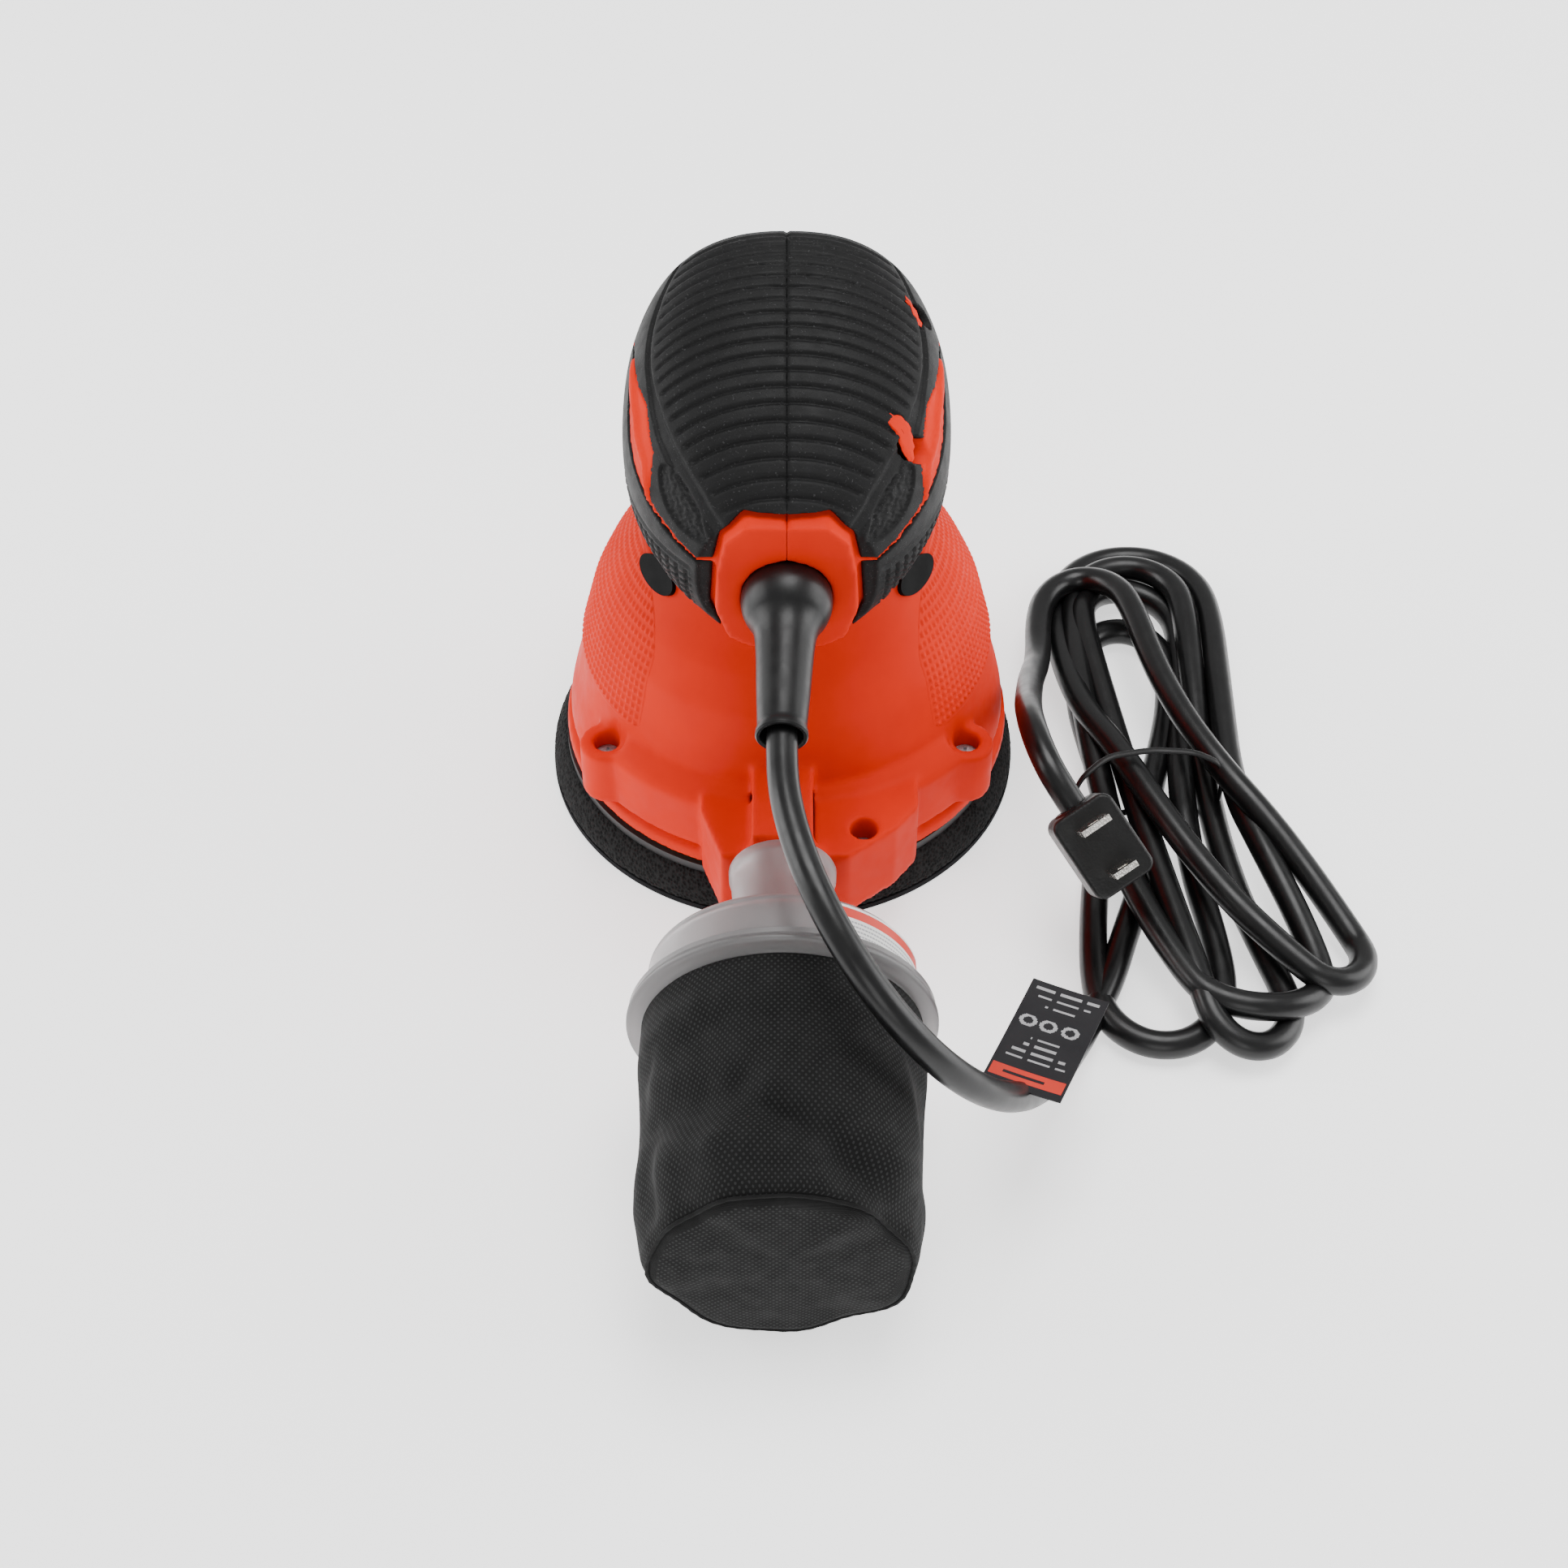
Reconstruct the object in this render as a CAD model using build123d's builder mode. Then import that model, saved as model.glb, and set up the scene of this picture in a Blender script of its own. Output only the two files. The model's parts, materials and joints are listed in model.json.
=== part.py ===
from build123d import *
import math
import os

# Random-orbit palm sander. Millimetres, +Z up, the sanding face on z = 0, the motor axis on
# x = y = 0, the dust bag towards -Y and the nose with its rocker switch towards +Y.

os.makedirs("parts", exist_ok=True)

# ---- Driving dimensions -------------------------------------------------------------------
ORBIT_OFFSET = 1.0        # the pad turns about an axis this far from the motor axis
PAD_RADIUS = 62.5         # five-inch pad
PAD_TOP_RADIUS = 59.0
HOOK_HEIGHT = 1.6
FOAM_HEIGHT = 10.0
PLATE_HEIGHT = 12.4
DUST_HOLES = 8
DUST_PCD = 65.0
DUST_HOLE_RADIUS = 4.6
PAD_SCREW_PCD = 26.0

SKIRT_BOTTOM = 14.1
SHROUD_TOP = 84.0
NECK_RADIUS = 34.4
GRIP_SKIN = 1.6           # thickness of the rubber moulded over the housing
HOUSING_WALL = 2.3
HOUSING_FOOT = 50.0       # the housing's tube stands on the fan baffle at this height

HEAD_WIDE = 39.9          # largest half width of the head
HEAD_WIDE_Z = 112.0
HEAD_TOP = 150.0
HEAD_TOP_Y = 24.0
NOSE_Y = 48.5
TAIL_Y = -56.0            # where the head's plan would close behind the flat collar
HEAD_REAR_Y = -47.0
HEAD_ROUND = 2.4          # superellipse exponent of the head's sections
LEVELS = (84.0, 85.2, 87.0, 90.0, 95.0, 102.0, 110.0, 118.0, 126.0, 133.0, 139.0, 144.0, 147.6, 149.6)
SECTION_POINTS = 48

COLLAR_REAR_Y = -50.5
COLLAR_HALF_WIDTH = 17.0
COLLAR_LOW = 85.7
COLLAR_HIGH = 123.0
BOOT_Z = 102.0
BOOT_BALL_RADIUS = 10.85
BOOT_BALL_Y = -52.0
BOOT_LENGTH = 39.4

SHAFT_RADIUS = 4.0
CORE_RADIUS = 16.0
CORE_LOW = 62.0
CORE_HIGH = 92.0
COIL_LOW = 56.5
COIL_HIGH = 98.0
FIELD_RADIUS = 27.5
POLE_RADIUS = 16.8
COMMUTATOR_RADIUS = 9.5
BRUSH_Z = 106.3
FAN_RADIUS = 42.0

PORT_X = -1.0
PORT_Y = -76.0
PORT_Z = 36.0
DUST_TILT = 4.5           # degrees that the dust cup droops towards the rear
SPIGOT_RADIUS = 9.9
DUCT_RADIUS = 7.9
CUP_RISE = 10.0           # the cup's body sits above its neck by this much
CUP_RADIUS = 31.35
CUP_BACK = 37.0
CUP_MOUTH = 52.4
FLANGE_RADIUS = 36.0

CORD_RADIUS = 3.6
# The points that the cord turns at, from just outside the boot's mouth down to the hank.
CORD_ROUTE = [
    (-1.3, -96.0, 95.8),
    (-0.2, -110.5, 94.8),
    (4.2, -127.0, 92.2),
    (11.5, -141.5, 86.2),
    (21.2, -152.0, 76.5),
    (32.0, -156.5, 64.0),
    (42.2, -154.3, 50.2),
    (50.6, -147.0, 37.0),
    (57.4, -136.5, 25.0),
    (63.6, -124.0, 14.6),
    (70.0, -110.2, 6.7),
    (76.0, -97.0, 3.8),
]
# The short free stretch from inside the plug's strain relief over to the hank's left lobe.
TAIL_ROUTE = [
    (72.4, -59.5, 37.9),
    (67.3, -53.8, 43.0),
    (63.8, -45.5, 45.5),
    (62.2, -35.5, 44.5),
    (62.3, -24.5, 39.5),
    (63.8, -11.0, 30.5),
    (66.0, 4.0, 22.5),
    (69.5, 18.5, 15.0),
]
# Plan outline of the hank that the rest of the cord is wound into.
HANK_OUTLINE = [
    (65.0, 6.0),
    (65.0, 44.0),
    (72.0, 60.0),
    (86.0, 73.0),
    (101.0, 77.5),
    (115.0, 71.0),
    (124.5, 48.0),
    (124.0, 16.0),
    (119.0, -22.0),
    (131.0, -45.0),
    (149.5, -73.0),
    (149.5, -88.0),
    (138.0, -100.0),
    (124.0, -112.5),
    (93.0, -110.5),
    (78.0, -103.0),
    (72.5, -88.0),
    (75.0, -66.0),
    (70.5, -22.0),
]
HANK_HEIGHT = 22.0
HANK_CORNER = 7.0


def finish(builder, name):
    """Label a finished piece and write it to its own STEP file."""
    builder.part.label = name
    export_step(builder.part, f"parts/{name}.step")


def around(x, y):
    """A level plane whose origin stands at (x, y, 0)."""
    return Plane(origin=(x, y, 0))


def meridian(degrees):
    """The upright half plane through the motor axis at this angle: local x outwards, local y up."""
    turn = math.radians(degrees)
    return Plane(origin=(0, 0, 0), x_dir=(math.cos(turn), math.sin(turn), 0),
                 z_dir=(math.sin(turn), -math.cos(turn), 0))


# ---- The head's shape, as a formula --------------------------------------------------------
def head_half_width(y):
    """Half width of the head at its widest height: a full nose and a tapering tail."""
    if y >= 0:
        return HEAD_WIDE * max(0.0, 1 - (y / NOSE_Y) ** HEAD_ROUND) ** (1 / HEAD_ROUND)
    return HEAD_WIDE * max(0.0, 1 - (y / TAIL_Y) ** HEAD_ROUND) ** 0.574


def head_middle(y):
    """Height at which the head is widest, lower towards the tail."""
    return HEAD_WIDE_Z - 7 * (min(0.0, y) / 50) ** 2


def head_top(y):
    """Height of the head's top line."""
    if y <= HEAD_TOP_Y:
        return HEAD_TOP - 28 * ((HEAD_TOP_Y - y) / 74) ** 2.2
    reach = min(1.0, (y - HEAD_TOP_Y) / (NOSE_Y - HEAD_TOP_Y))
    return HEAD_WIDE_Z + (HEAD_TOP - HEAD_WIDE_Z) * (1 - reach ** 1.75) ** (1 / 1.75)


def head_bottom(y):
    """Height of the head's underside."""
    if y <= 0:
        return 84.0 + 1.7 * (y / 50) ** 2
    return HEAD_WIDE_Z - 28 * max(0.0, 1 - (y / NOSE_Y) ** 2.6) ** (1 / 2.6)


def inside_head(x, y, z):
    """Whether a point is inside the head without its neck."""
    if not TAIL_Y < y < NOSE_Y:
        return False
    width = head_half_width(y)
    middle = head_middle(y)
    height = head_top(y) - middle if z > middle else middle - head_bottom(y)
    if width < 0.01 or height < 0.01:
        return False
    return (abs(x) / width) ** HEAD_ROUND + (abs(z - middle) / height) ** HEAD_ROUND < 1


def section_centre(z):
    """The y that a level section is drawn around, moving forward under the head's top."""
    return HEAD_TOP_Y * max(0.0, (z - HEAD_WIDE_Z) / (HEAD_TOP - HEAD_WIDE_Z)) ** 1.3


def neck_reach(z):
    """Radius of the neck, fading out inside the head."""
    fade = min(1.0, max(0.0, (z - 92.0) / 20.0))
    return NECK_RADIUS * (1 - fade * fade * (3 - 2 * fade))


def section_radius(angle, z):
    """Distance from the section's centre to the skin in one direction, by bisection."""
    centre = section_centre(z)
    low, high = 0.0, 110.0
    for _ in range(34):
        middle = (low + high) / 2
        if inside_head(middle * math.cos(angle), centre + middle * math.sin(angle), z):
            low = middle
        else:
            high = middle
    neck = neck_reach(z)
    return (low ** 14 + neck ** 14) ** (1 / 14)


def head_loft(inset):
    """The head and neck as a solid, this far inside the outer skin."""
    with BuildPart() as solid:
        for level in LEVELS:
            height = level - inset * max(0.0, (level - HEAD_WIDE_Z) / (HEAD_TOP - HEAD_WIDE_Z))
            centre = section_centre(level)
            points = []
            for index in range(SECTION_POINTS):
                angle = 2 * math.pi * index / SECTION_POINTS
                reach = max(0.8, section_radius(angle, level) - inset)
                points.append((reach * math.cos(angle), centre + reach * math.sin(angle)))
            with BuildSketch(Plane.XY.offset(height)):
                with BuildLine():
                    Polyline(*points, close=True)
                make_face()
        loft(ruled=True)
        with BuildSketch(Plane.XZ.offset(-HEAD_REAR_Y - inset)):
            Rectangle(200, 400)
        extrude(amount=60, mode=Mode.SUBTRACT)
    return solid.part


def side_band(points):
    """A solid spanning the whole width over a closed outline in the side view (y, z)."""
    with BuildPart() as band:
        with BuildSketch(Plane.YZ.offset(-60)):
            with BuildLine():
                Polyline(*points, close=True)
            make_face()
        extrude(amount=120)
    return band.part


outer_skin = head_loft(0.0)
housing_skin = head_loft(GRIP_SKIN)
cavity = head_loft(GRIP_SKIN + HOUSING_WALL)
rubber_layer = outer_skin - housing_skin

# Side-view lines between the top grip, the orange side windows and the lower grip.
WINDOW_TOP = [(-70, 108.5), (-47, 111.0), (-33, 117.0), (-27, 126.0), (-15, 131.0),
              (6, 129.6), (30, 124.0), (70, 118.0)]
WINDOW_LOW = [(-70, 107.7), (-47, 110.2), (-33, 115.5), (-20, 120.0), (-8, 125.0),
              (6, 129.0), (30, 123.4), (70, 117.4)]
above_windows = side_band(WINDOW_TOP + [(70, 170), (-70, 170)])
below_windows = side_band(WINDOW_LOW + [(70, 86.5), (-70, 86.5)])
below_top_grip = side_band(WINDOW_TOP + [(70, 60), (-70, 60)])
window_layer = (rubber_layer & below_top_grip) - below_windows

ROCKER_Z = 112.0
ROCKER_PIVOT_Y = 41.0
ROCKER_OPENING = Pos(0, 47.0, ROCKER_Z) * Box(17, 18, 21)
collar_hole = Pos(0, BOOT_BALL_Y, BOOT_Z) * Sphere(BOOT_BALL_RADIUS + 0.1)
boot_hole = Pos(0, -46.0, BOOT_Z) * Rot(90, 0, 0) * Cylinder(7.9, 12)


def half(solid, side):
    """The part of a solid on one side of the clamshell's seam: -1 left, +1 right."""
    return solid & (Pos(side * 100, 0, 100) * Box(200, 400, 300))


def largest(solid):
    """The largest connected piece of a solid."""
    return sorted(solid.solids(), key=lambda piece: piece.volume)[-1]


# ---- Housing halves -------------------------------------------------------------------------
with BuildPart() as collar:
    with BuildSketch(Plane.XZ.offset(-COLLAR_REAR_Y - 6.5)):
        with BuildLine():
            Polyline((-9.5, COLLAR_HIGH), (9.5, COLLAR_HIGH), (14.5, 118.5), (16.2, 110.0),
                     (COLLAR_HALF_WIDTH, 98.0), (14.0, 89.0), (8.0, COLLAR_LOW),
                     (-8.0, COLLAR_LOW), (-14.0, 89.0), (-COLLAR_HALF_WIDTH, 98.0),
                     (-16.2, 110.0), (-14.5, 118.5), close=True)
        make_face()
    extrude(amount=6.5)
    fillet(collar.edges().filter_by(Axis.Y), radius=2.0)

with BuildPart() as housing_tube:
    with BuildSketch(Plane.XY.offset(HOUSING_FOOT)):
        Circle(NECK_RADIUS - GRIP_SKIN + 0.1)
        Circle(NECK_RADIUS - GRIP_SKIN - HOUSING_WALL, mode=Mode.SUBTRACT)
    extrude(amount=36)
    with BuildSketch(Plane.XY.offset(HOUSING_FOOT)):
        Circle(42)
        Circle(NECK_RADIUS - GRIP_SKIN - HOUSING_WALL, mode=Mode.SUBTRACT)
        with PolarLocations(38, 4, start_angle=45):
            Circle(1.7, mode=Mode.SUBTRACT)
    extrude(amount=3)

with BuildPart() as field_ribs:
    for low in (66.0, 86.0):
        with BuildSketch(Plane.XY.offset(low)):
            Circle(NECK_RADIUS - GRIP_SKIN - HOUSING_WALL + 0.3)
            Circle(FIELD_RADIUS, mode=Mode.SUBTRACT)
        extrude(amount=3)

with BuildPart() as bearing_rib:
    with BuildSketch(Plane.XY.offset(118)):
        Rectangle(90, 20)
        Circle(12, mode=Mode.SUBTRACT)
    extrude(amount=4)

SCREW_PLACES = [(-27.0, 127.0), (12.0, 136.0), (34.0, 96.5), (-37.5, 93.0)]
with BuildPart() as screw_bosses:
    for place in SCREW_PLACES:
        with BuildSketch(Plane.YZ.offset(-22)):
            with Locations(place):
                Circle(3.6)
        extrude(amount=44)

with BuildPart() as clamp_seats:
    with BuildSketch(Plane.XY.offset(86)):
        with Locations((-7.5, -34), (7.5, -34)):
            Rectangle(7, 6)
    extrude(amount=12.4)

housing_solid = (housing_skin - cavity) + window_layer + collar.part + housing_tube.part
housing_solid = housing_solid + field_ribs.part
housing_solid = housing_solid + ((bearing_rib.part + screw_bosses.part + clamp_seats.part) & cavity)
neck_passage = Pos(0, 0, 84) * Cylinder(NECK_RADIUS - GRIP_SKIN - HOUSING_WALL, 12)
field_keep = Pos(0, 0, (CORE_LOW + COIL_HIGH) / 2) * Cylinder(FIELD_RADIUS, COIL_HIGH - COIL_LOW + 6)
housing_solid = housing_solid - (neck_passage - (field_ribs.part + (Pos(0, 0, 92) * Cylinder(60, 4))))
housing_solid = housing_solid - field_keep - collar_hole - boot_hole - ROCKER_OPENING
with BuildPart() as screw_cuts:
    for place in SCREW_PLACES:
        with BuildSketch(Plane.YZ.offset(-16)):
            with Locations(place):
                Circle(1.6)
        extrude(amount=36)
        with BuildSketch(Plane.YZ.offset(20)):
            with Locations(place):
                Circle(3.3)
        extrude(amount=30)
clamp_screw_cuts = (Pos(-7.5, -34, 96) * Cylinder(1.35, 16)) + (Pos(7.5, -34, 96) * Cylinder(1.35, 16))
housing_solid = housing_solid - screw_cuts.part - clamp_screw_cuts

left_half = largest(half(housing_solid, -1))
right_half = largest(half(housing_solid, 1))
with BuildPart() as left_housing:
    add(left_half)
finish(left_housing, "left_housing")

with BuildPart() as right_housing:
    add(right_half)
finish(right_housing, "right_housing")

# ---- Rubber moulded over the head ------------------------------------------------------------
with BuildPart() as collar_keep:
    with BuildSketch(Plane.XZ.offset(41.0)):
        with BuildLine():
            Polyline((-10.0, 124.0), (10.0, 124.0), (15.4, 119.1), (17.2, 110.2), (18.0, 97.9),
                     (14.8, 88.2), (8.4, 84.0), (-8.4, 84.0), (-14.8, 88.2), (-18.0, 97.9),
                     (-17.2, 110.2), (-15.4, 119.1), close=True)
        make_face()
    extrude(amount=14)
top_layer = (rubber_layer & above_windows) - collar_keep.part - screw_cuts.part - ROCKER_OPENING
low_layer = (rubber_layer & below_windows) - collar_keep.part - screw_cuts.part - ROCKER_OPENING
for grip_name, layer, side in (
    ("left_top_grip", top_layer, -1),
    ("right_top_grip", top_layer, 1),
    ("left_side_grip", low_layer, -1),
    ("right_side_grip", low_layer, 1),
):
    grip_half = largest(half(layer, side))
    with BuildPart() as grip:
        add(grip_half)
    finish(grip, grip_name)

# ---- Dust path frame: local z runs rearwards along the port, local y is up ---------------------
tilt = math.radians(DUST_TILT)
DUST = Plane(origin=(PORT_X, PORT_Y, PORT_Z), x_dir=(1, 0, 0), z_dir=(0, -math.cos(tilt), -math.sin(tilt)))

# ---- Shroud: dome, skirt, rear ledge, dust port boss and spigot --------------------------------
DOME_OUTSIDE = [(59.1, SKIRT_BOTTOM), (58.9, 17.8), (56.2, 18.4), (56.0, 20.4), (57.9, 20.5), (57.4, 25),
                (56.3, 30), (55.0, 35), (54.0, 40), (53.3, 45), (52.0, 50), (49.5, 60), (45.0, 70),
                (38.6, 80), (36.4, SHROUD_TOP)]
DOME_INSIDE = [(33.6, SHROUD_TOP), (35.6, 80), (42.0, 70), (46.6, 60), (49.2, 50), (51.0, 40),
               (52.4, 30), (53.2, 22), (53.2, 18), (56.0, 16.6), (56.4, SKIRT_BOTTOM)]
with BuildPart() as dome_space:
    with BuildSketch(meridian(0)):
        with BuildLine():
            Polyline((0, SHROUD_TOP + 2), (33.6, SHROUD_TOP + 2), *DOME_INSIDE,
                     (56.4, SKIRT_BOTTOM - 2), (0, SKIRT_BOTTOM - 2), close=True)
        make_face()
    revolve(axis=Axis.Z)

LEDGE_HALF_ANGLE = 48
with BuildPart() as shroud:
    with BuildSketch(meridian(0)):
        with BuildLine():
            Polyline((30, SKIRT_BOTTOM), *DOME_OUTSIDE, (30, SHROUD_TOP), close=True)
        make_face()
    revolve(axis=Axis.Z)
    with BuildSketch(meridian(270 - LEDGE_HALF_ANGLE)):
        with BuildLine():
            Polyline((48, 20.5), (59.6, 20.5), (60.0, 36.5), (58.8, 38.2), (55.0, 41.0), (48, 41.0),
                     close=True)
        make_face()
    revolve(axis=Axis.Z, revolution_arc=2 * LEDGE_HALF_ANGLE)
    with BuildSketch(Plane.XY.offset(17.8)):
        with BuildLine():
            Polyline((-21, -48), (-21.5, -60), (-16, -75.5), (15, -75.5), (27, -66), (33, -58),
                     (33, -44), close=True)
        make_face()
    extrude(amount=21.4)
    with BuildSketch(Plane.XY.offset(17.8)):
        with Locations((PORT_X, -63)):
            Rectangle(15, 26)
    extrude(amount=29.4)
    with BuildSketch(Plane.XY.offset(20.5)):
        with Locations((46, -33.5), (-46, -33.5)):
            Circle(7)
    extrude(amount=16.5)
    with BuildSketch(DUST.offset(-4)):
        Circle(SPIGOT_RADIUS)
    extrude(amount=26)
    with BuildSketch(DUST.offset(-34)):
        Circle(DUCT_RADIUS)
    extrude(amount=60, mode=Mode.SUBTRACT)
    add(dome_space.part, mode=Mode.SUBTRACT)
    with BuildSketch(Plane.XY.offset(30)):
        with Locations((46, -33.5), (-46, -33.5), (19, -66)):
            Circle(3.4)
    extrude(amount=20, mode=Mode.SUBTRACT)
    with BuildSketch(Plane.XY.offset(44.9)):
        Circle(50.4)
        Circle(43.6, mode=Mode.SUBTRACT)
    extrude(amount=2.6)
finish(shroud, "shroud")

BADGE_TURN = 32
with BuildPart() as side_badges:
    for side in (-1, 1):
        turn = math.radians(-90 + side * (90 - BADGE_TURN))
        lean = math.radians(29)
        outward = (math.cos(turn) * math.cos(lean), math.sin(turn) * math.cos(lean), math.sin(lean))
        spot = (math.cos(turn) * 36.4, math.sin(turn) * 36.4, 81.0)
        along = (-math.sin(turn), math.cos(turn), 0)
        with BuildSketch(Plane(origin=spot, x_dir=along, z_dir=outward)):
            Ellipse(7.6, 3.7)
        extrude(amount=2.0)
    add(shroud.part, mode=Mode.SUBTRACT)
finish(side_badges, "side_badges")

with BuildPart() as brake_ring:
    with BuildSketch(Plane.XY.offset(12.7)):
        Circle(56.3)
        Circle(54.2, mode=Mode.SUBTRACT)
    extrude(amount=4.4)
    add(shroud.part, mode=Mode.SUBTRACT)
finish(brake_ring, "brake_ring")

BAFFLE_RADIUS = 49.0
with BuildPart() as fan_baffle:
    with BuildSketch(Plane.XY.offset(47.5)):
        Circle(BAFFLE_RADIUS)
        Circle(12, mode=Mode.SUBTRACT)
        with PolarLocations(38, 4, start_angle=45):
            Circle(1.7, mode=Mode.SUBTRACT)
        with PolarLocations(21, 6):
            Circle(4, mode=Mode.SUBTRACT)
    extrude(amount=2.5)
    with BuildSketch(Plane.XY.offset(46)):
        Circle(14)
        Circle(7.4, mode=Mode.SUBTRACT)
    extrude(amount=2)
    with BuildSketch(Plane.XY.offset(48)):
        Circle(14)
        Circle(11, mode=Mode.SUBTRACT)
    extrude(amount=7)
    add(shroud.part, mode=Mode.SUBTRACT)
finish(fan_baffle, "fan_baffle")

with BuildPart() as baffle_screws:
    with BuildSketch(Plane.XY.offset(47.5)):
        with PolarLocations(38, 4, start_angle=45):
            Circle(1.65)
    extrude(amount=8)
    with BuildSketch(Plane.XY.offset(53)):
        with PolarLocations(38, 4, start_angle=45):
            Circle(3.0)
    extrude(amount=2.2)
finish(baffle_screws, "baffle_screws")

with BuildPart() as shroud_screws:
    with BuildSketch(Plane.XY.offset(30)):
        with Locations((46, -33.5), (-46, -33.5), (19, -66)):
            Circle(3.2)
    extrude(amount=2.2)
    with BuildSketch(Plane.XY.offset(31.4)):
        with Locations((46, -33.5), (-46, -33.5), (19, -66)):
            Rectangle(4.2, 0.8, mode=Mode.ADD)
            Rectangle(0.8, 4.2, mode=Mode.ADD)
    extrude(amount=0.9, mode=Mode.SUBTRACT)
finish(shroud_screws, "shroud_screws")

# ---- Clamshell screws --------------------------------------------------------------------------
with BuildPart() as housing_screws:
    for place in SCREW_PLACES:
        with BuildSketch(Plane.YZ.offset(-15.5)):
            with Locations(place):
                Circle(1.55)
        extrude(amount=35.5)
        with BuildSketch(Plane.YZ.offset(20)):
            with Locations(place):
                Circle(3.1)
        extrude(amount=2.0)
finish(housing_screws, "housing_screws")


# ---- Bearings ----------------------------------------------------------------------------------
def bearing(name, x, low, width, radii, ball_radius, balls):
    """Outer ring, inner ring with its balls: radii are bore, inner, outer land and outside."""
    bore, inner_land, outer_land, outside = radii
    with BuildPart() as outer_ring:
        with BuildSketch(around(x, 0).offset(low)):
            Circle(outside)
            Circle(outer_land, mode=Mode.SUBTRACT)
        extrude(amount=width)
    finish(outer_ring, f"{name}_outer_ring")
    with BuildPart() as inner_ring:
        with BuildSketch(around(x, 0).offset(low)):
            Circle(inner_land)
            Circle(bore, mode=Mode.SUBTRACT)
        extrude(amount=width)
        with Locations((x, 0, low + width / 2)):
            with PolarLocations((inner_land + outer_land) / 2, balls):
                Sphere(ball_radius)
    finish(inner_ring, f"{name}_inner_ring")


LOWER_BEARING_LOW = 48.0
PAD_BEARING_LOW = 17.0
UPPER_BEARING_LOW = 117.0
bearing("lower_bearing", 0, LOWER_BEARING_LOW, 7.0, (SHAFT_RADIUS, 6.3, 9.0, 11.0), 1.3, 8)
bearing("upper_bearing", 0, UPPER_BEARING_LOW, 6.0, (3.5, 5.2, 7.6, 9.5), 1.12, 8)
bearing("pad_bearing", -ORBIT_OFFSET, PAD_BEARING_LOW, 7.0, (SHAFT_RADIUS, 6.3, 9.0, 11.0), 1.3, 8)

with BuildPart() as bearing_sleeve:
    with BuildSketch(Plane.XY.offset(116.4)):
        Circle(12)
        Circle(9.5, mode=Mode.SUBTRACT)
    extrude(amount=7.2)
finish(bearing_sleeve, "bearing_sleeve")

# ---- Rotor -------------------------------------------------------------------------------------
with BuildPart() as motor_shaft:
    with BuildSketch(Plane.XY.offset(24.8)):
        Circle(SHAFT_RADIUS)
    extrude(amount=88)
    with BuildSketch(Plane.XY.offset(112.8)):
        Circle(3.5)
    extrude(amount=12)
    chamfer(motor_shaft.edges().group_by(Axis.Z)[-1], length=0.6)
finish(motor_shaft, "motor_shaft")

ARMATURE_SLOTS = 12
with BuildPart() as armature_core:
    with BuildSketch(Plane.XY.offset(CORE_LOW)):
        Circle(CORE_RADIUS)
        Circle(SHAFT_RADIUS, mode=Mode.SUBTRACT)
        with PolarLocations(CORE_RADIUS - 1.2, ARMATURE_SLOTS):
            Rectangle(2.8, 1.6, mode=Mode.SUBTRACT)
    extrude(amount=CORE_HIGH - CORE_LOW)
finish(armature_core, "armature_core")

with BuildPart() as armature_windings:
    with BuildSketch(meridian(0)):
        with BuildLine():
            Polyline((SHAFT_RADIUS, CORE_LOW), (SHAFT_RADIUS, COIL_LOW + 1.5), (6.5, COIL_LOW),
                     (11, COIL_LOW), (13.6, COIL_LOW + 2.2), (13.6, CORE_LOW), close=True)
        make_face()
        with BuildLine():
            Polyline((SHAFT_RADIUS, CORE_HIGH), (13.6, CORE_HIGH), (13.6, COIL_HIGH - 2.2), (11, COIL_HIGH),
                     (6.5, COIL_HIGH), (SHAFT_RADIUS, COIL_HIGH - 1.5), close=True)
        make_face()
    revolve(axis=Axis.Z)
finish(armature_windings, "armature_windings")

COMMUTATOR_BARS = 24
with BuildPart() as commutator:
    with BuildSketch(Plane.XY.offset(100.6)):
        Circle(COMMUTATOR_RADIUS)
        Circle(SHAFT_RADIUS, mode=Mode.SUBTRACT)
        with PolarLocations(COMMUTATOR_RADIUS - 0.4, COMMUTATOR_BARS):
            Rectangle(1.4, 0.5, mode=Mode.SUBTRACT)
    extrude(amount=11.6)
finish(commutator, "commutator")

FAN_BLADES = 11
with BuildPart() as fan:
    with BuildSketch(Plane.XY.offset(28.4)):
        Circle(FAN_RADIUS)
        Circle(SHAFT_RADIUS, mode=Mode.SUBTRACT)
    extrude(amount=1.8)
    with BuildSketch(Plane.XY.offset(30.2)):
        Circle(8)
        Circle(SHAFT_RADIUS, mode=Mode.SUBTRACT)
    extrude(amount=9)
    with BuildSketch(Plane.XY.offset(30.2)):
        with PolarLocations(28, FAN_BLADES):
            Rectangle(27, 1.4, rotation=24)
    extrude(amount=7)
    with BuildSketch(Plane.XY.offset(21.6)):
        with PolarLocations(34, FAN_BLADES):
            Rectangle(14, 1.6, rotation=-18)
    extrude(amount=6.8)
finish(fan, "fan")

with BuildPart() as bearing_carrier:
    with BuildSketch(around(-ORBIT_OFFSET, 0).offset(PAD_BEARING_LOW)):
        Circle(14.4)
        Circle(11.0, mode=Mode.SUBTRACT)
    extrude(amount=7.8)
    with BuildSketch(around(-ORBIT_OFFSET, 0).offset(24.8)):
        Circle(14.4)
    extrude(amount=3.6)
    with BuildSketch(Plane.XY.offset(24.0)):
        Circle(SHAFT_RADIUS)
    extrude(amount=5, mode=Mode.SUBTRACT)
finish(bearing_carrier, "bearing_carrier")

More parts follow.
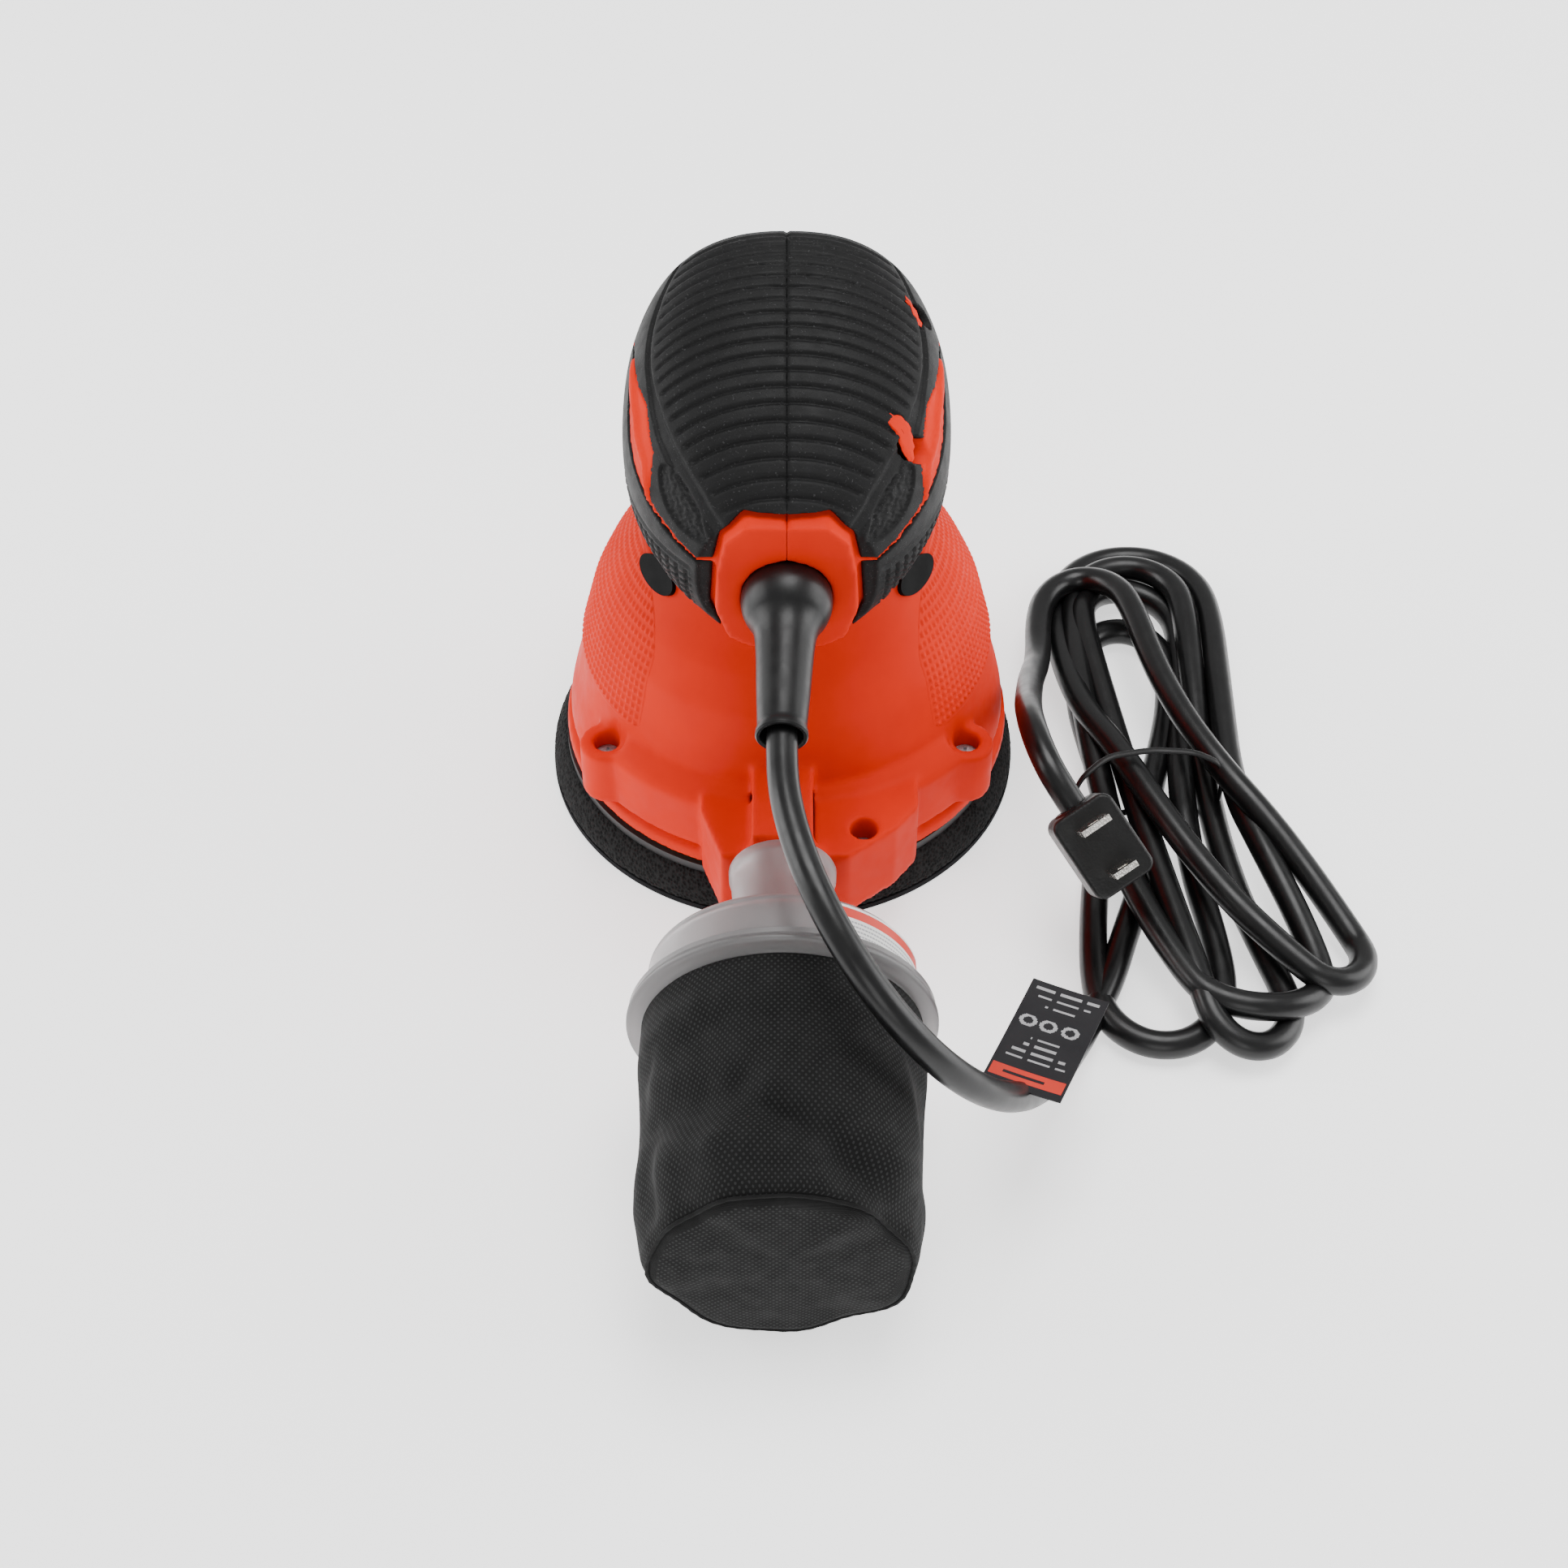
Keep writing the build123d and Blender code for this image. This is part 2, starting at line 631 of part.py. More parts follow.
with BuildPart() as counterweight:
    with BuildSketch(Plane.XY.offset(18.5)):
        Circle(25.4)
        Circle(16.2, mode=Mode.SUBTRACT)
        with Locations((-30, 0)):
            Rectangle(70, 80, mode=Mode.SUBTRACT)
    extrude(amount=9.9)
finish(counterweight, "counterweight")

# ---- Field and brush gear ------------------------------------------------------------------------
with BuildPart() as field_core:
    with BuildSketch(Plane.XY.offset(CORE_LOW)):
        Circle(FIELD_RADIUS)
        Circle(22.5, mode=Mode.SUBTRACT)
        with Locations((0, 20.5), (0, -20.5)):
            Rectangle(20, 9)
        Circle(POLE_RADIUS, mode=Mode.SUBTRACT)
    extrude(amount=CORE_HIGH - CORE_LOW)
finish(field_core, "field_core")

with BuildPart() as field_coils:
    for low, high in ((COIL_LOW, CORE_LOW), (CORE_HIGH, COIL_HIGH)):
        with BuildSketch(Plane.XY.offset(low)):
            Circle(25.5)
            Circle(17.4, mode=Mode.SUBTRACT)
            with Locations((27, 0), (-27, 0)):
                Rectangle(20, 14, mode=Mode.SUBTRACT)
        extrude(amount=high - low)
finish(field_coils, "field_coils")

with BuildPart() as brush_holders:
    for side in (-1, 1):
        with BuildSketch(Plane.YZ.offset(side * 19)):
            with Locations((0, BRUSH_Z)):
                Rectangle(9, 8)
                Rectangle(6.4, 5.4, mode=Mode.SUBTRACT)
        extrude(amount=8, both=True)
        with BuildSketch(Plane.YZ.offset(side * 27.6)):
            with Locations((0, BRUSH_Z)):
                Rectangle(9, 8)
        extrude(amount=0.6, both=True)
finish(brush_holders, "brush_holders")

BRUSH_INNER = COMMUTATOR_RADIUS + 0.1
for side, word in ((-1, "left"), (1, "right")):
    with BuildPart() as brush:
        with BuildSketch(Plane.YZ.offset(side * (BRUSH_INNER + 5.5))):
            with Locations((0, BRUSH_Z)):
                Rectangle(6.0, 5.0)
        extrude(amount=5.5, both=True)
    finish(brush, f"{word}_brush")
    with BuildPart() as brush_spring:
        for turn_index in range(4):
            with BuildSketch(Plane.YZ.offset(side * (21.3 + 1.5 * turn_index))):
                with Locations((0, BRUSH_Z)):
                    Circle(2.2)
                    Circle(1.6, mode=Mode.SUBTRACT)
            extrude(amount=side * 0.6)
        with BuildSketch(Plane.YZ.offset(side * 21.3)):
            with Locations((0, BRUSH_Z + 1.9)):
                Circle(0.28)
        extrude(amount=side * 5.1)
    finish(brush_spring, f"{word}_brush_spring")

# ---- Switch and wiring ----------------------------------------------------------------------------
with BuildPart() as switch_body:
    with BuildSketch(Plane.XY.offset(101)):
        with Locations((0, 29)):
            Rectangle(15, 13)
    extrude(amount=22)
    fillet(switch_body.edges().filter_by(Axis.Z), radius=1.0)
    with BuildSketch(Plane.XZ.offset(-35.5)):
        with Locations((0, ROCKER_Z)):
            Rectangle(12, 9)
    extrude(amount=-0.7)
finish(switch_body, "switch_body")

with BuildPart() as switch_surround:
    with BuildSketch(Plane.XZ.offset(-39.0)):
        with Locations((0, ROCKER_Z)):
            Rectangle(17, 21)
            Rectangle(14.8, 19.0, mode=Mode.SUBTRACT)
    extrude(amount=-7.5)
finish(switch_surround, "switch_surround")

with BuildPart() as switch_rocker:
    with BuildSketch(Plane.YZ.offset(-7.0)):
        with BuildLine():
            Polyline((39.2, 105.4), (45.5, 103.9), (49.6, 106.4), (47.6, 112.0), (49.9, 117.4),
                     (45.5, 119.6), (39.2, 118.0), close=True)
        make_face()
    extrude(amount=14)
    fillet(switch_rocker.edges().filter_by(Axis.X).sort_by(Axis.Y)[-2:], radius=1.0)
finish(switch_rocker, "switch_rocker")

LEAD_RADIUS = 1.1
LEAD_BEND = 4.0
with BuildPart() as internal_leads:
    with BuildSketch(Plane.XZ.offset(30.2)):
        with Locations((0, BOOT_Z)):
            Circle(CORD_RADIUS)
    extrude(amount=10.8)
    for side in (-1, 1):
        with BuildLine() as lead_path:
            FilletPolyline((side * 2.2, -31, BOOT_Z), (side * 2.2, -18.5, BOOT_Z), (side * 2.2, -18.5, 131),
                           (side * 2.2, 29, 131), (side * 2.2, 29, 123), radius=LEAD_BEND)
        with BuildSketch(Plane(origin=(side * 2.2, -31, BOOT_Z), z_dir=(0, 1, 0))):
            Circle(LEAD_RADIUS)
        sweep(path=lead_path.line)
finish(internal_leads, "internal_leads")

with BuildPart() as cord_clamp:
    with BuildSketch(Plane.XY.offset(BOOT_Z + CORD_RADIUS)):
        with Locations((0, -34)):
            Rectangle(22, 6)
        with Locations((-7.5, -34), (7.5, -34)):
            Circle(1.5, mode=Mode.SUBTRACT)
    extrude(amount=3)
    with BuildSketch(Plane.XY.offset(98.4)):
        with Locations((-7.5, -34), (7.5, -34)):
            Rectangle(5, 6)
            Circle(1.5, mode=Mode.SUBTRACT)
    extrude(amount=BOOT_Z + CORD_RADIUS - 98.4)
finish(cord_clamp, "cord_clamp")

with BuildPart() as clamp_screws:
    with BuildSketch(Plane.XY.offset(89)):
        with Locations((-7.5, -34), (7.5, -34)):
            Circle(1.3)
    extrude(amount=21.6)
    with BuildSketch(Plane.XY.offset(BOOT_Z + CORD_RADIUS + 3)):
        with Locations((-7.5, -34), (7.5, -34)):
            Circle(2.7)
    extrude(amount=1.8)
finish(clamp_screws, "clamp_screws")

# ---- Cord boot, cord, hank, tie, plug and tag --------------------------------------------------------
BOOT_AXIS = (-0.03, -0.9898, -0.139)
BOOT = Plane(origin=(0, BOOT_BALL_Y, BOOT_Z), x_dir=(0.9995, -0.0303, 0), z_dir=BOOT_AXIS)
with BuildPart() as strain_relief_boot:
    with Locations((0, BOOT_BALL_Y, BOOT_Z)):
        Sphere(BOOT_BALL_RADIUS)
    with BuildSketch(Plane.XZ.offset(41.0)):
        with Locations((0, BOOT_Z)):
            Circle(7.8)
    extrude(amount=10)
    for offset_along, radius in ((3.0, 7.4), (9.0, 6.7), (22.0, 6.2), (BOOT_LENGTH - 2.0, 5.6)):
        with BuildSketch(BOOT.offset(offset_along)):
            Circle(radius)
    loft()
    with BuildSketch(BOOT.offset(BOOT_LENGTH - 2.2)):
        Circle(5.9)
    extrude(amount=2.2)
    with BuildSketch(BOOT.offset(BOOT_LENGTH - 8.0)):
        Circle(4.7)
    extrude(amount=10, mode=Mode.SUBTRACT)
finish(strain_relief_boot, "strain_relief_boot")


def corner_radii(route):
    """Radius of each corner's arc: 0.45 of the shorter run over the tangent of half the turn."""
    radii = []
    for before, corner, after in zip(route, route[1:], route[2:]):
        run_in = Vector(*corner) - Vector(*before)
        run_out = Vector(*after) - Vector(*corner)
        shorter = min(run_in.length, run_out.length)
        radii.append(0.45 * shorter / math.tan(math.radians(run_in.get_angle(run_out)) / 2))
    return radii


CORD_START = BOOT.origin + BOOT.z_dir * (BOOT_LENGTH - 8.0)
route = [tuple(CORD_START)] + CORD_ROUTE
radii = corner_radii(route)
print("cord radii", [round(radius, 1) for radius in radii])
with BuildPart() as cord_lead:
    with BuildLine() as cord_path:
        FilletPolyline(*route, radius=radii)
    with BuildSketch(Plane(origin=route[0], z_dir=Vector(*route[1]) - Vector(*route[0]))):
        Circle(CORD_RADIUS)
    sweep(path=cord_path.line)
finish(cord_lead, "cord_lead")
cord_section = math.pi * CORD_RADIUS ** 2
cord_length = sum(edge.length for edge in cord_path.edges())
lead_ratio = cord_lead.part.volume / cord_section / cord_length
print("cord length", round(cord_length, 1), "volume ratio", lead_ratio)
print("lowest point of the cord", cord_lead.part.bounding_box().min.Z)

tail_radii = corner_radii(TAIL_ROUTE)
print("tail radii", [round(radius, 1) for radius in tail_radii])
with BuildPart() as cord_tail:
    with BuildLine() as tail_path:
        FilletPolyline(*TAIL_ROUTE, radius=tail_radii)
    with BuildSketch(Plane(origin=TAIL_ROUTE[0], z_dir=Vector(*TAIL_ROUTE[1]) - Vector(*TAIL_ROUTE[0]))):
        Circle(CORD_RADIUS)
    sweep(path=tail_path.line)
finish(cord_tail, "cord_tail")
tail_length = sum(edge.length for edge in tail_path.edges())
tail_ratio = cord_tail.part.volume / cord_section / tail_length
print("tail length", round(tail_length, 1), "volume ratio", tail_ratio)

with BuildPart() as cord_hank:
    with BuildSketch():
        with BuildLine():
            Polyline(*HANK_OUTLINE, close=True)
        make_face()
    extrude(amount=HANK_HEIGHT)
    fillet(cord_hank.edges().filter_by(Axis.Z), radius=HANK_CORNER)
finish(cord_hank, "cord_hank")

TIE_Y = -19.0
with BuildPart() as hank_tie:
    with BuildSketch(Plane.XZ.offset(-TIE_Y)):
        with Locations((95.0, (HANK_HEIGHT + 1.3) / 2)):
            Rectangle(53.0, HANK_HEIGHT + 1.3)
    extrude(amount=1.3)
    add(cord_hank.part, mode=Mode.SUBTRACT)
finish(hank_tie, "hank_tie")

PLUG_FACE = (78.0, -71.0, 38.0)
PLUG_LONG = (0.557, -0.603, -0.570)
PLUG_OUT = (0.0, -0.6869, 0.7267)
PLUG = Plane(origin=PLUG_FACE, x_dir=PLUG_LONG, z_dir=PLUG_OUT)
with BuildPart() as plug_body:
    with BuildSketch(PLUG.offset(-16)):
        RectangleRounded(23, 17, 3)
    extrude(amount=16)
    fillet(plug_body.faces().sort_by(Axis.Z)[-1].edges(), radius=1.0)
    with BuildSketch(Plane(origin=PLUG.offset(-8).origin, x_dir=PLUG_OUT, z_dir=(-0.557, 0.603, 0.570))):
        Circle(5.4)
    extrude(amount=12)
finish(plug_body, "plug_body")

BLADE_SPACING = 12.7
BLADE_LENGTH = 15.9
with BuildPart() as plug_blades:
    for along, width in ((-BLADE_SPACING / 2, 7.9), (BLADE_SPACING / 2, 6.35)):
        with BuildSketch(PLUG):
            with Locations((along, 0)):
                Rectangle(1.5, width)
        extrude(amount=BLADE_LENGTH)
        with BuildSketch(Plane(origin=PLUG.offset(11.5).origin, x_dir=PLUG_OUT, z_dir=PLUG_LONG)):
            Circle(1.6)
        extrude(amount=10, both=True, mode=Mode.SUBTRACT)
finish(plug_blades, "plug_blades")

TAG_FOLD = (54.3, -141.3, 35.0)
TAG = Plane(origin=TAG_FOLD, x_dir=(0.92, -0.39, 0.0), z_dir=(0.078, 0.184, 0.976))
with BuildPart() as cord_tag:
    with BuildSketch(TAG):
        with Locations((0, 16.0)):
            Rectangle(19, 38)
    extrude(amount=0.6)
    add(cord_hank.part, mode=Mode.SUBTRACT)
    add(cord_lead.part, mode=Mode.SUBTRACT)
finish(cord_tag, "cord_tag")

# ---- Dust cup and filter --------------------------------------------------------------------------------
CUP = Plane(origin=DUST.from_local_coords((0, CUP_RISE, 0)), x_dir=(1, 0, 0), z_dir=DUST.z_dir)
with BuildPart() as dust_cup:
    with BuildSketch(DUST.offset(1.4)):
        Circle(12.2)
    extrude(amount=CUP_BACK)
    with BuildSketch(CUP.offset(CUP_BACK)):
        Circle(CUP_RADIUS)
    extrude(amount=CUP_MOUTH - CUP_BACK)
    fillet(dust_cup.faces().sort_by(Axis.Y)[-1].edges(), radius=0.6)
    with BuildSketch(CUP.offset(CUP_MOUTH - 2.0)):
        Circle(FLANGE_RADIUS - 0.6)
    extrude(amount=2.0)
    with BuildSketch(CUP.offset(CUP_BACK + 2.0)):
        Circle(CUP_RADIUS - 1.9)
    extrude(amount=30, mode=Mode.SUBTRACT)
    with BuildSketch(DUST.offset(-5)):
        Circle(SPIGOT_RADIUS + 0.3)
    extrude(amount=50, mode=Mode.SUBTRACT)
finish(dust_cup, "dust_cup")

LABEL_LOW = 12
LABEL_HIGH = 72
low_turn = math.radians(LABEL_LOW)
high_turn = math.radians(LABEL_HIGH)
with BuildPart() as cup_label:
    with BuildSketch(CUP.offset(CUP_BACK + 2.2)):
        Circle(CUP_RADIUS + 0.3)
        Circle(CUP_RADIUS, mode=Mode.SUBTRACT)
        with BuildLine():
            Polyline((0, 0), (60 * math.cos(low_turn), 60 * math.sin(low_turn)),
                     (60 * math.cos(high_turn), 60 * math.sin(high_turn)), close=True)
        make_face(mode=Mode.INTERSECT)
    extrude(amount=10.5)
finish(cup_label, "cup_label")

with BuildPart() as filter_frame:
    with BuildSketch(CUP.offset(CUP_MOUTH + 0.3)):
        Circle(FLANGE_RADIUS)
        Circle(28.0, mode=Mode.SUBTRACT)
    extrude(amount=2.6)
    with BuildSketch(CUP.offset(CUP_MOUTH - 6.0)):
        Circle(CUP_RADIUS - 2.2)
        Circle(28.0, mode=Mode.SUBTRACT)
    extrude(amount=6.4)
    with BuildSketch(CUP.offset(CUP_MOUTH + 2.9)):
        Circle(31.0)
        Circle(28.0, mode=Mode.SUBTRACT)
    extrude(amount=6.0)
finish(filter_frame, "filter_frame")

# The bag's rings: rearward distance, height of the centre, radius across and radius up and down.
BAG_RINGS = [(-133.4, 41.2, 32.4, 32.4), (-146, 39.4, 33.2, 33.0), (-160, 37.0, 33.6, 33.6),
             (-175, 34.2, 33.2, 32.2), (-186, 31.6, 30.4, 29.4), (-189, 30.8, 27.0, 26.0)]
BAG_WALL = 1.2
BAG_END_WALL = 1.4
with BuildPart() as bag_hollow:
    for ring_y, ring_z, across, upright in BAG_RINGS:
        shift = 0.5 if ring_y > -140 else -BAG_END_WALL * (ring_y + 133.4) / 55.6
        with BuildSketch(Plane.XZ.offset(-ring_y - shift)):
            with Locations((PORT_X, ring_z)):
                Ellipse(across - BAG_WALL, upright - BAG_WALL)
    loft()

with BuildPart() as filter_bag:
    for ring_y, ring_z, across, upright in BAG_RINGS:
        with BuildSketch(Plane.XZ.offset(-ring_y)):
            with Locations((PORT_X, ring_z)):
                Ellipse(across, upright)
    loft()
    add(bag_hollow.part, mode=Mode.SUBTRACT)
    add(filter_frame.part, mode=Mode.SUBTRACT)
finish(filter_bag, "filter_bag")

# ---- Pad ---------------------------------------------------------------------------------------------------
PAD = around(-ORBIT_OFFSET, 0)
with BuildPart() as hook_layer:
    with BuildSketch(PAD):
        Circle(PAD_RADIUS)
        with PolarLocations(DUST_PCD / 2, DUST_HOLES, start_angle=22.5):
            Circle(DUST_HOLE_RADIUS, mode=Mode.SUBTRACT)
        with PolarLocations(PAD_SCREW_PCD / 2, 3):
            Circle(4.6, mode=Mode.SUBTRACT)
    extrude(amount=HOOK_HEIGHT)
finish(hook_layer, "hook_layer")

with BuildPart() as pad_foam:
    with BuildSketch(PAD.offset(HOOK_HEIGHT)):
        Circle(PAD_RADIUS)
    with BuildSketch(PAD.offset(FOAM_HEIGHT)):
        Circle(PAD_TOP_RADIUS)
    loft()
    with BuildSketch(PAD.offset(HOOK_HEIGHT)):
        with PolarLocations(DUST_PCD / 2, DUST_HOLES, start_angle=22.5):
            Circle(DUST_HOLE_RADIUS)
        with PolarLocations(PAD_SCREW_PCD / 2, 3):
            Circle(4.6)
    extrude(amount=20, mode=Mode.SUBTRACT)
finish(pad_foam, "pad_foam")

with BuildPart() as pad_plate:
    with BuildSketch(PAD.offset(FOAM_HEIGHT)):
        Circle(PAD_TOP_RADIUS - 0.6)
        with PolarLocations(DUST_PCD / 2, DUST_HOLES, start_angle=22.5):
            Circle(DUST_HOLE_RADIUS, mode=Mode.SUBTRACT)
        with PolarLocations(PAD_SCREW_PCD / 2, 3):
            Circle(1.9, mode=Mode.SUBTRACT)
    extrude(amount=PLATE_HEIGHT - FOAM_HEIGHT)
finish(pad_plate, "pad_plate")

with BuildPart() as pad_hub:
    with BuildSketch(PAD.offset(PLATE_HEIGHT)):
        Circle(17)
        with PolarLocations(PAD_SCREW_PCD / 2, 3):
            Circle(1.9, mode=Mode.SUBTRACT)
    extrude(amount=3)
    with BuildSketch(PAD.offset(PLATE_HEIGHT + 3)):
        Circle(6.0)
    extrude(amount=PAD_BEARING_LOW - PLATE_HEIGHT - 3)
    with BuildSketch(PAD.offset(PAD_BEARING_LOW)):
        Circle(SHAFT_RADIUS)
    extrude(amount=7.0)
finish(pad_hub, "pad_hub")

with BuildPart() as pad_screws:
    with BuildSketch(PAD.offset(FOAM_HEIGHT - 2.4)):
        with PolarLocations(PAD_SCREW_PCD / 2, 3):
            Circle(3.6)
    extrude(amount=2.4)
    with BuildSketch(PAD.offset(FOAM_HEIGHT)):
        with PolarLocations(PAD_SCREW_PCD / 2, 3):
            Circle(1.85)
    extrude(amount=5.2)
finish(pad_screws, "pad_screws")
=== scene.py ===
"""Looks for a random-orbit palm sander with its dust bag and its mains lead.

Sizes in the code are millimetres; meshes are written in metres. +Z is up, the sanding face is on
z = 0, the motor axis is x = y = 0, the dust bag is towards -Y and the nose towards +Y.
"""
import json
import logging
import math
from collections.abc import Callable, Sequence
from dataclasses import dataclass
from enum import Enum

import bpy
import numpy as np
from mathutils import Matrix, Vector

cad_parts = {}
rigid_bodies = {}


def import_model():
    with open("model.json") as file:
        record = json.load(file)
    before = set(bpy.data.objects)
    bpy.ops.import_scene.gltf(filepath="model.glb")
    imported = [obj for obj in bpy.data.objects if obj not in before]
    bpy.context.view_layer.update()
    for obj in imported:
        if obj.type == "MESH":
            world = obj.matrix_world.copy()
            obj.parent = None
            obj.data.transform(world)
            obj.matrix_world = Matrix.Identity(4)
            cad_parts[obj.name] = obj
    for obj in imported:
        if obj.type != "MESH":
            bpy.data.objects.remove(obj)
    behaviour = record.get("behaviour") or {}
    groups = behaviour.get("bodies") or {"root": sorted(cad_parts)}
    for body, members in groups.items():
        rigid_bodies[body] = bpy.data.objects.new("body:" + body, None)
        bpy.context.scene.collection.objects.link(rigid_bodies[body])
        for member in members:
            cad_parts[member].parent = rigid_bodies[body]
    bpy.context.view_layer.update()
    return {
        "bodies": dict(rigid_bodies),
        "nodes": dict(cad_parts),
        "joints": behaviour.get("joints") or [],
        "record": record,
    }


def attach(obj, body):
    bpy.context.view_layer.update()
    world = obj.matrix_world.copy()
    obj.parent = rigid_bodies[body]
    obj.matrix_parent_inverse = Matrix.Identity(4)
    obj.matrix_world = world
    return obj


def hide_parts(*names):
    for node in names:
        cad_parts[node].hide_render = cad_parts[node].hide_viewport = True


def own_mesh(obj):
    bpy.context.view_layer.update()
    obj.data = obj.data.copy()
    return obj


LOG = logging.getLogger("sander")
MM = 0.001


# ---- Finishes ---------------------------------------------------------------------------------
class Pattern(Enum):
    """What a finish shows beyond its grain."""

    PLAIN = "plain"
    SPECKLE = "speckle"
    DOTS = "dots"
    BANDS = "bands"
    BRUSHED = "brushed"
    PORES = "pores"


@dataclass(frozen=True)
class Finish:
    """A procedural finish: colours are linear, sizes are millimetres."""

    name: str
    colour: tuple
    second: tuple
    roughness: float
    spread: float = 0.06
    patch: float = 14.0
    grain: float = 0.5
    relief: float = 0.02
    metallic: float = 0.0
    specular: float = 0.5
    transmission: float = 0.0
    coat: float = 0.0
    pattern: Pattern = Pattern.PLAIN
    pitch: float = 1.0
    mark: tuple = (0.1, 0.1, 0.1)

    def pattern_scale(self) -> float:
        """The scale of the pattern's mask: a wave number for bands and dots, else features per metre."""
        if self.pattern is Pattern.BANDS:
            return 2 * math.pi / (self.pitch * MM)
        if self.pattern is Pattern.DOTS:
            return math.pi / (self.pitch * MM) / math.sqrt(2)
        return 1 / (self.pitch * MM)


FINISHES = {
    finish.name: finish
    for finish in (
        Finish("orange_plastic", (0.66, 0.017, 0.0010), (0.62, 0.015, 0.0008), 0.54, grain=0.6,
               relief=0.012, specular=0.07),
        Finish("black_rubber", (0.0026, 0.0026, 0.0027), (0.0040, 0.0040, 0.0042), 0.58, grain=0.35,
               relief=0.05, specular=0.2, pattern=Pattern.SPECKLE, pitch=0.55, mark=(0.030, 0.030, 0.031)),
        Finish("black_plastic", (0.010, 0.010, 0.0105), (0.014, 0.014, 0.015), 0.42, relief=0.015),
        Finish("badge_plastic", (0.0026, 0.0026, 0.0028), (0.004, 0.004, 0.004), 0.5, specular=0.05),
        Finish("tan_rubber", (0.50, 0.37, 0.20), (0.44, 0.31, 0.16), 0.6, relief=0.03),
        Finish("grey_plastic", (0.030, 0.030, 0.032), (0.022, 0.022, 0.024), 0.6, specular=0.2),
        Finish("rocker_plastic", (0.012, 0.012, 0.013), (0.016, 0.016, 0.017), 0.35),
        Finish("screw_steel", (0.42, 0.42, 0.44), (0.34, 0.34, 0.36), 0.34, metallic=1.0,
               pattern=Pattern.BRUSHED, pitch=0.3, mark=(0.5, 0.5, 0.52)),
        Finish("bearing_steel", (0.60, 0.60, 0.62), (0.52, 0.52, 0.55), 0.2, metallic=1.0,
               pattern=Pattern.BRUSHED, pitch=0.2, mark=(0.66, 0.66, 0.68)),
        Finish("lamination_steel", (0.20, 0.20, 0.22), (0.15, 0.15, 0.17), 0.45, metallic=1.0,
               pattern=Pattern.BANDS, pitch=0.65, mark=(0.09, 0.09, 0.10)),
        Finish("copper_wire", (0.55, 0.16, 0.05), (0.42, 0.11, 0.03), 0.32, metallic=0.7, coat=0.5,
               pattern=Pattern.BANDS, pitch=0.8, mark=(0.24, 0.06, 0.02)),
        Finish("copper_bars", (0.86, 0.38, 0.20), (0.70, 0.28, 0.14), 0.3, metallic=1.0,
               pattern=Pattern.BRUSHED, pitch=0.3, mark=(0.9, 0.5, 0.3)),
        Finish("brass", (0.75, 0.50, 0.18), (0.62, 0.40, 0.13), 0.3, metallic=1.0,
               pattern=Pattern.BRUSHED, pitch=0.3, mark=(0.8, 0.6, 0.3)),
        Finish("brass_plated", (0.74, 0.71, 0.66), (0.60, 0.57, 0.52), 0.18, metallic=1.0,
               pattern=Pattern.BRUSHED, pitch=0.4, mark=(0.82, 0.8, 0.76)),
        Finish("carbon", (0.03, 0.03, 0.032), (0.05, 0.05, 0.052), 0.7, relief=0.04,
               pattern=Pattern.SPECKLE, pitch=0.3, mark=(0.12, 0.12, 0.12)),
        Finish("cast_alloy", (0.55, 0.56, 0.58), (0.45, 0.46, 0.48), 0.5, metallic=0.9, grain=0.9,
               relief=0.08),
        Finish("weight_steel", (0.28, 0.27, 0.26), (0.20, 0.19, 0.18), 0.5, metallic=1.0, relief=0.05),
        Finish("cord_pvc", (0.0030, 0.0030, 0.0032), (0.0045, 0.0045, 0.0047), 0.33, spread=0.05,
               grain=3.5, relief=0.03, specular=0.36),
        Finish("plug_pvc", (0.003, 0.003, 0.003), (0.005, 0.005, 0.005), 0.42, grain=0.7, relief=0.09,
               specular=0.3),
        Finish("boot_rubber", (0.0030, 0.0030, 0.0032), (0.0042, 0.0042, 0.0045), 0.38, grain=1.4,
               relief=0.02, specular=0.3),
        Finish("tie_plastic", (0.004, 0.004, 0.004), (0.008, 0.008, 0.008), 0.45, specular=0.3),
        Finish("tag_card", (0.010, 0.010, 0.012), (0.014, 0.014, 0.016), 0.5, relief=0.01, specular=0.25),
        Finish("pad_foam", (0.006, 0.006, 0.006), (0.010, 0.010, 0.010), 0.93, grain=0.8, relief=0.2,
               specular=0.1, pattern=Pattern.PORES, pitch=0.9, mark=(0.020, 0.020, 0.020)),
        Finish("hook_fabric", (0.010, 0.010, 0.011), (0.016, 0.016, 0.017), 0.95, specular=0.1,
               grain=0.4, relief=0.12, pattern=Pattern.DOTS, pitch=1.1, mark=(0.04, 0.04, 0.04)),
        Finish("frosted_plastic", (0.62, 0.60, 0.60), (0.54, 0.52, 0.525), 0.34, grain=1.2,
               relief=0.015, transmission=0.86, patch=30.0),
        Finish("label_paper", (0.72, 0.71, 0.70), (0.66, 0.65, 0.64), 0.5, relief=0.006),
        Finish("print_white", (0.36, 0.36, 0.37), (0.30, 0.30, 0.31), 0.5, relief=0.004),
        Finish("print_red", (0.62, 0.022, 0.006), (0.55, 0.018, 0.005), 0.48, relief=0.004),
        Finish("print_grey", (0.33, 0.33, 0.34), (0.26, 0.26, 0.27), 0.5, relief=0.004),
        Finish("bag_fabric", (0.0030, 0.0030, 0.0030), (0.0048, 0.0048, 0.0048), 0.82,
               grain=0.5, relief=0.07, specular=0.2, pattern=Pattern.DOTS, pitch=1.05,
               mark=(0.021, 0.0215, 0.0215)),
        Finish("bag_thread", (0.003, 0.003, 0.003), (0.006, 0.006, 0.006), 0.8, grain=0.3, relief=0.1,
               specular=0.2),
    )
}
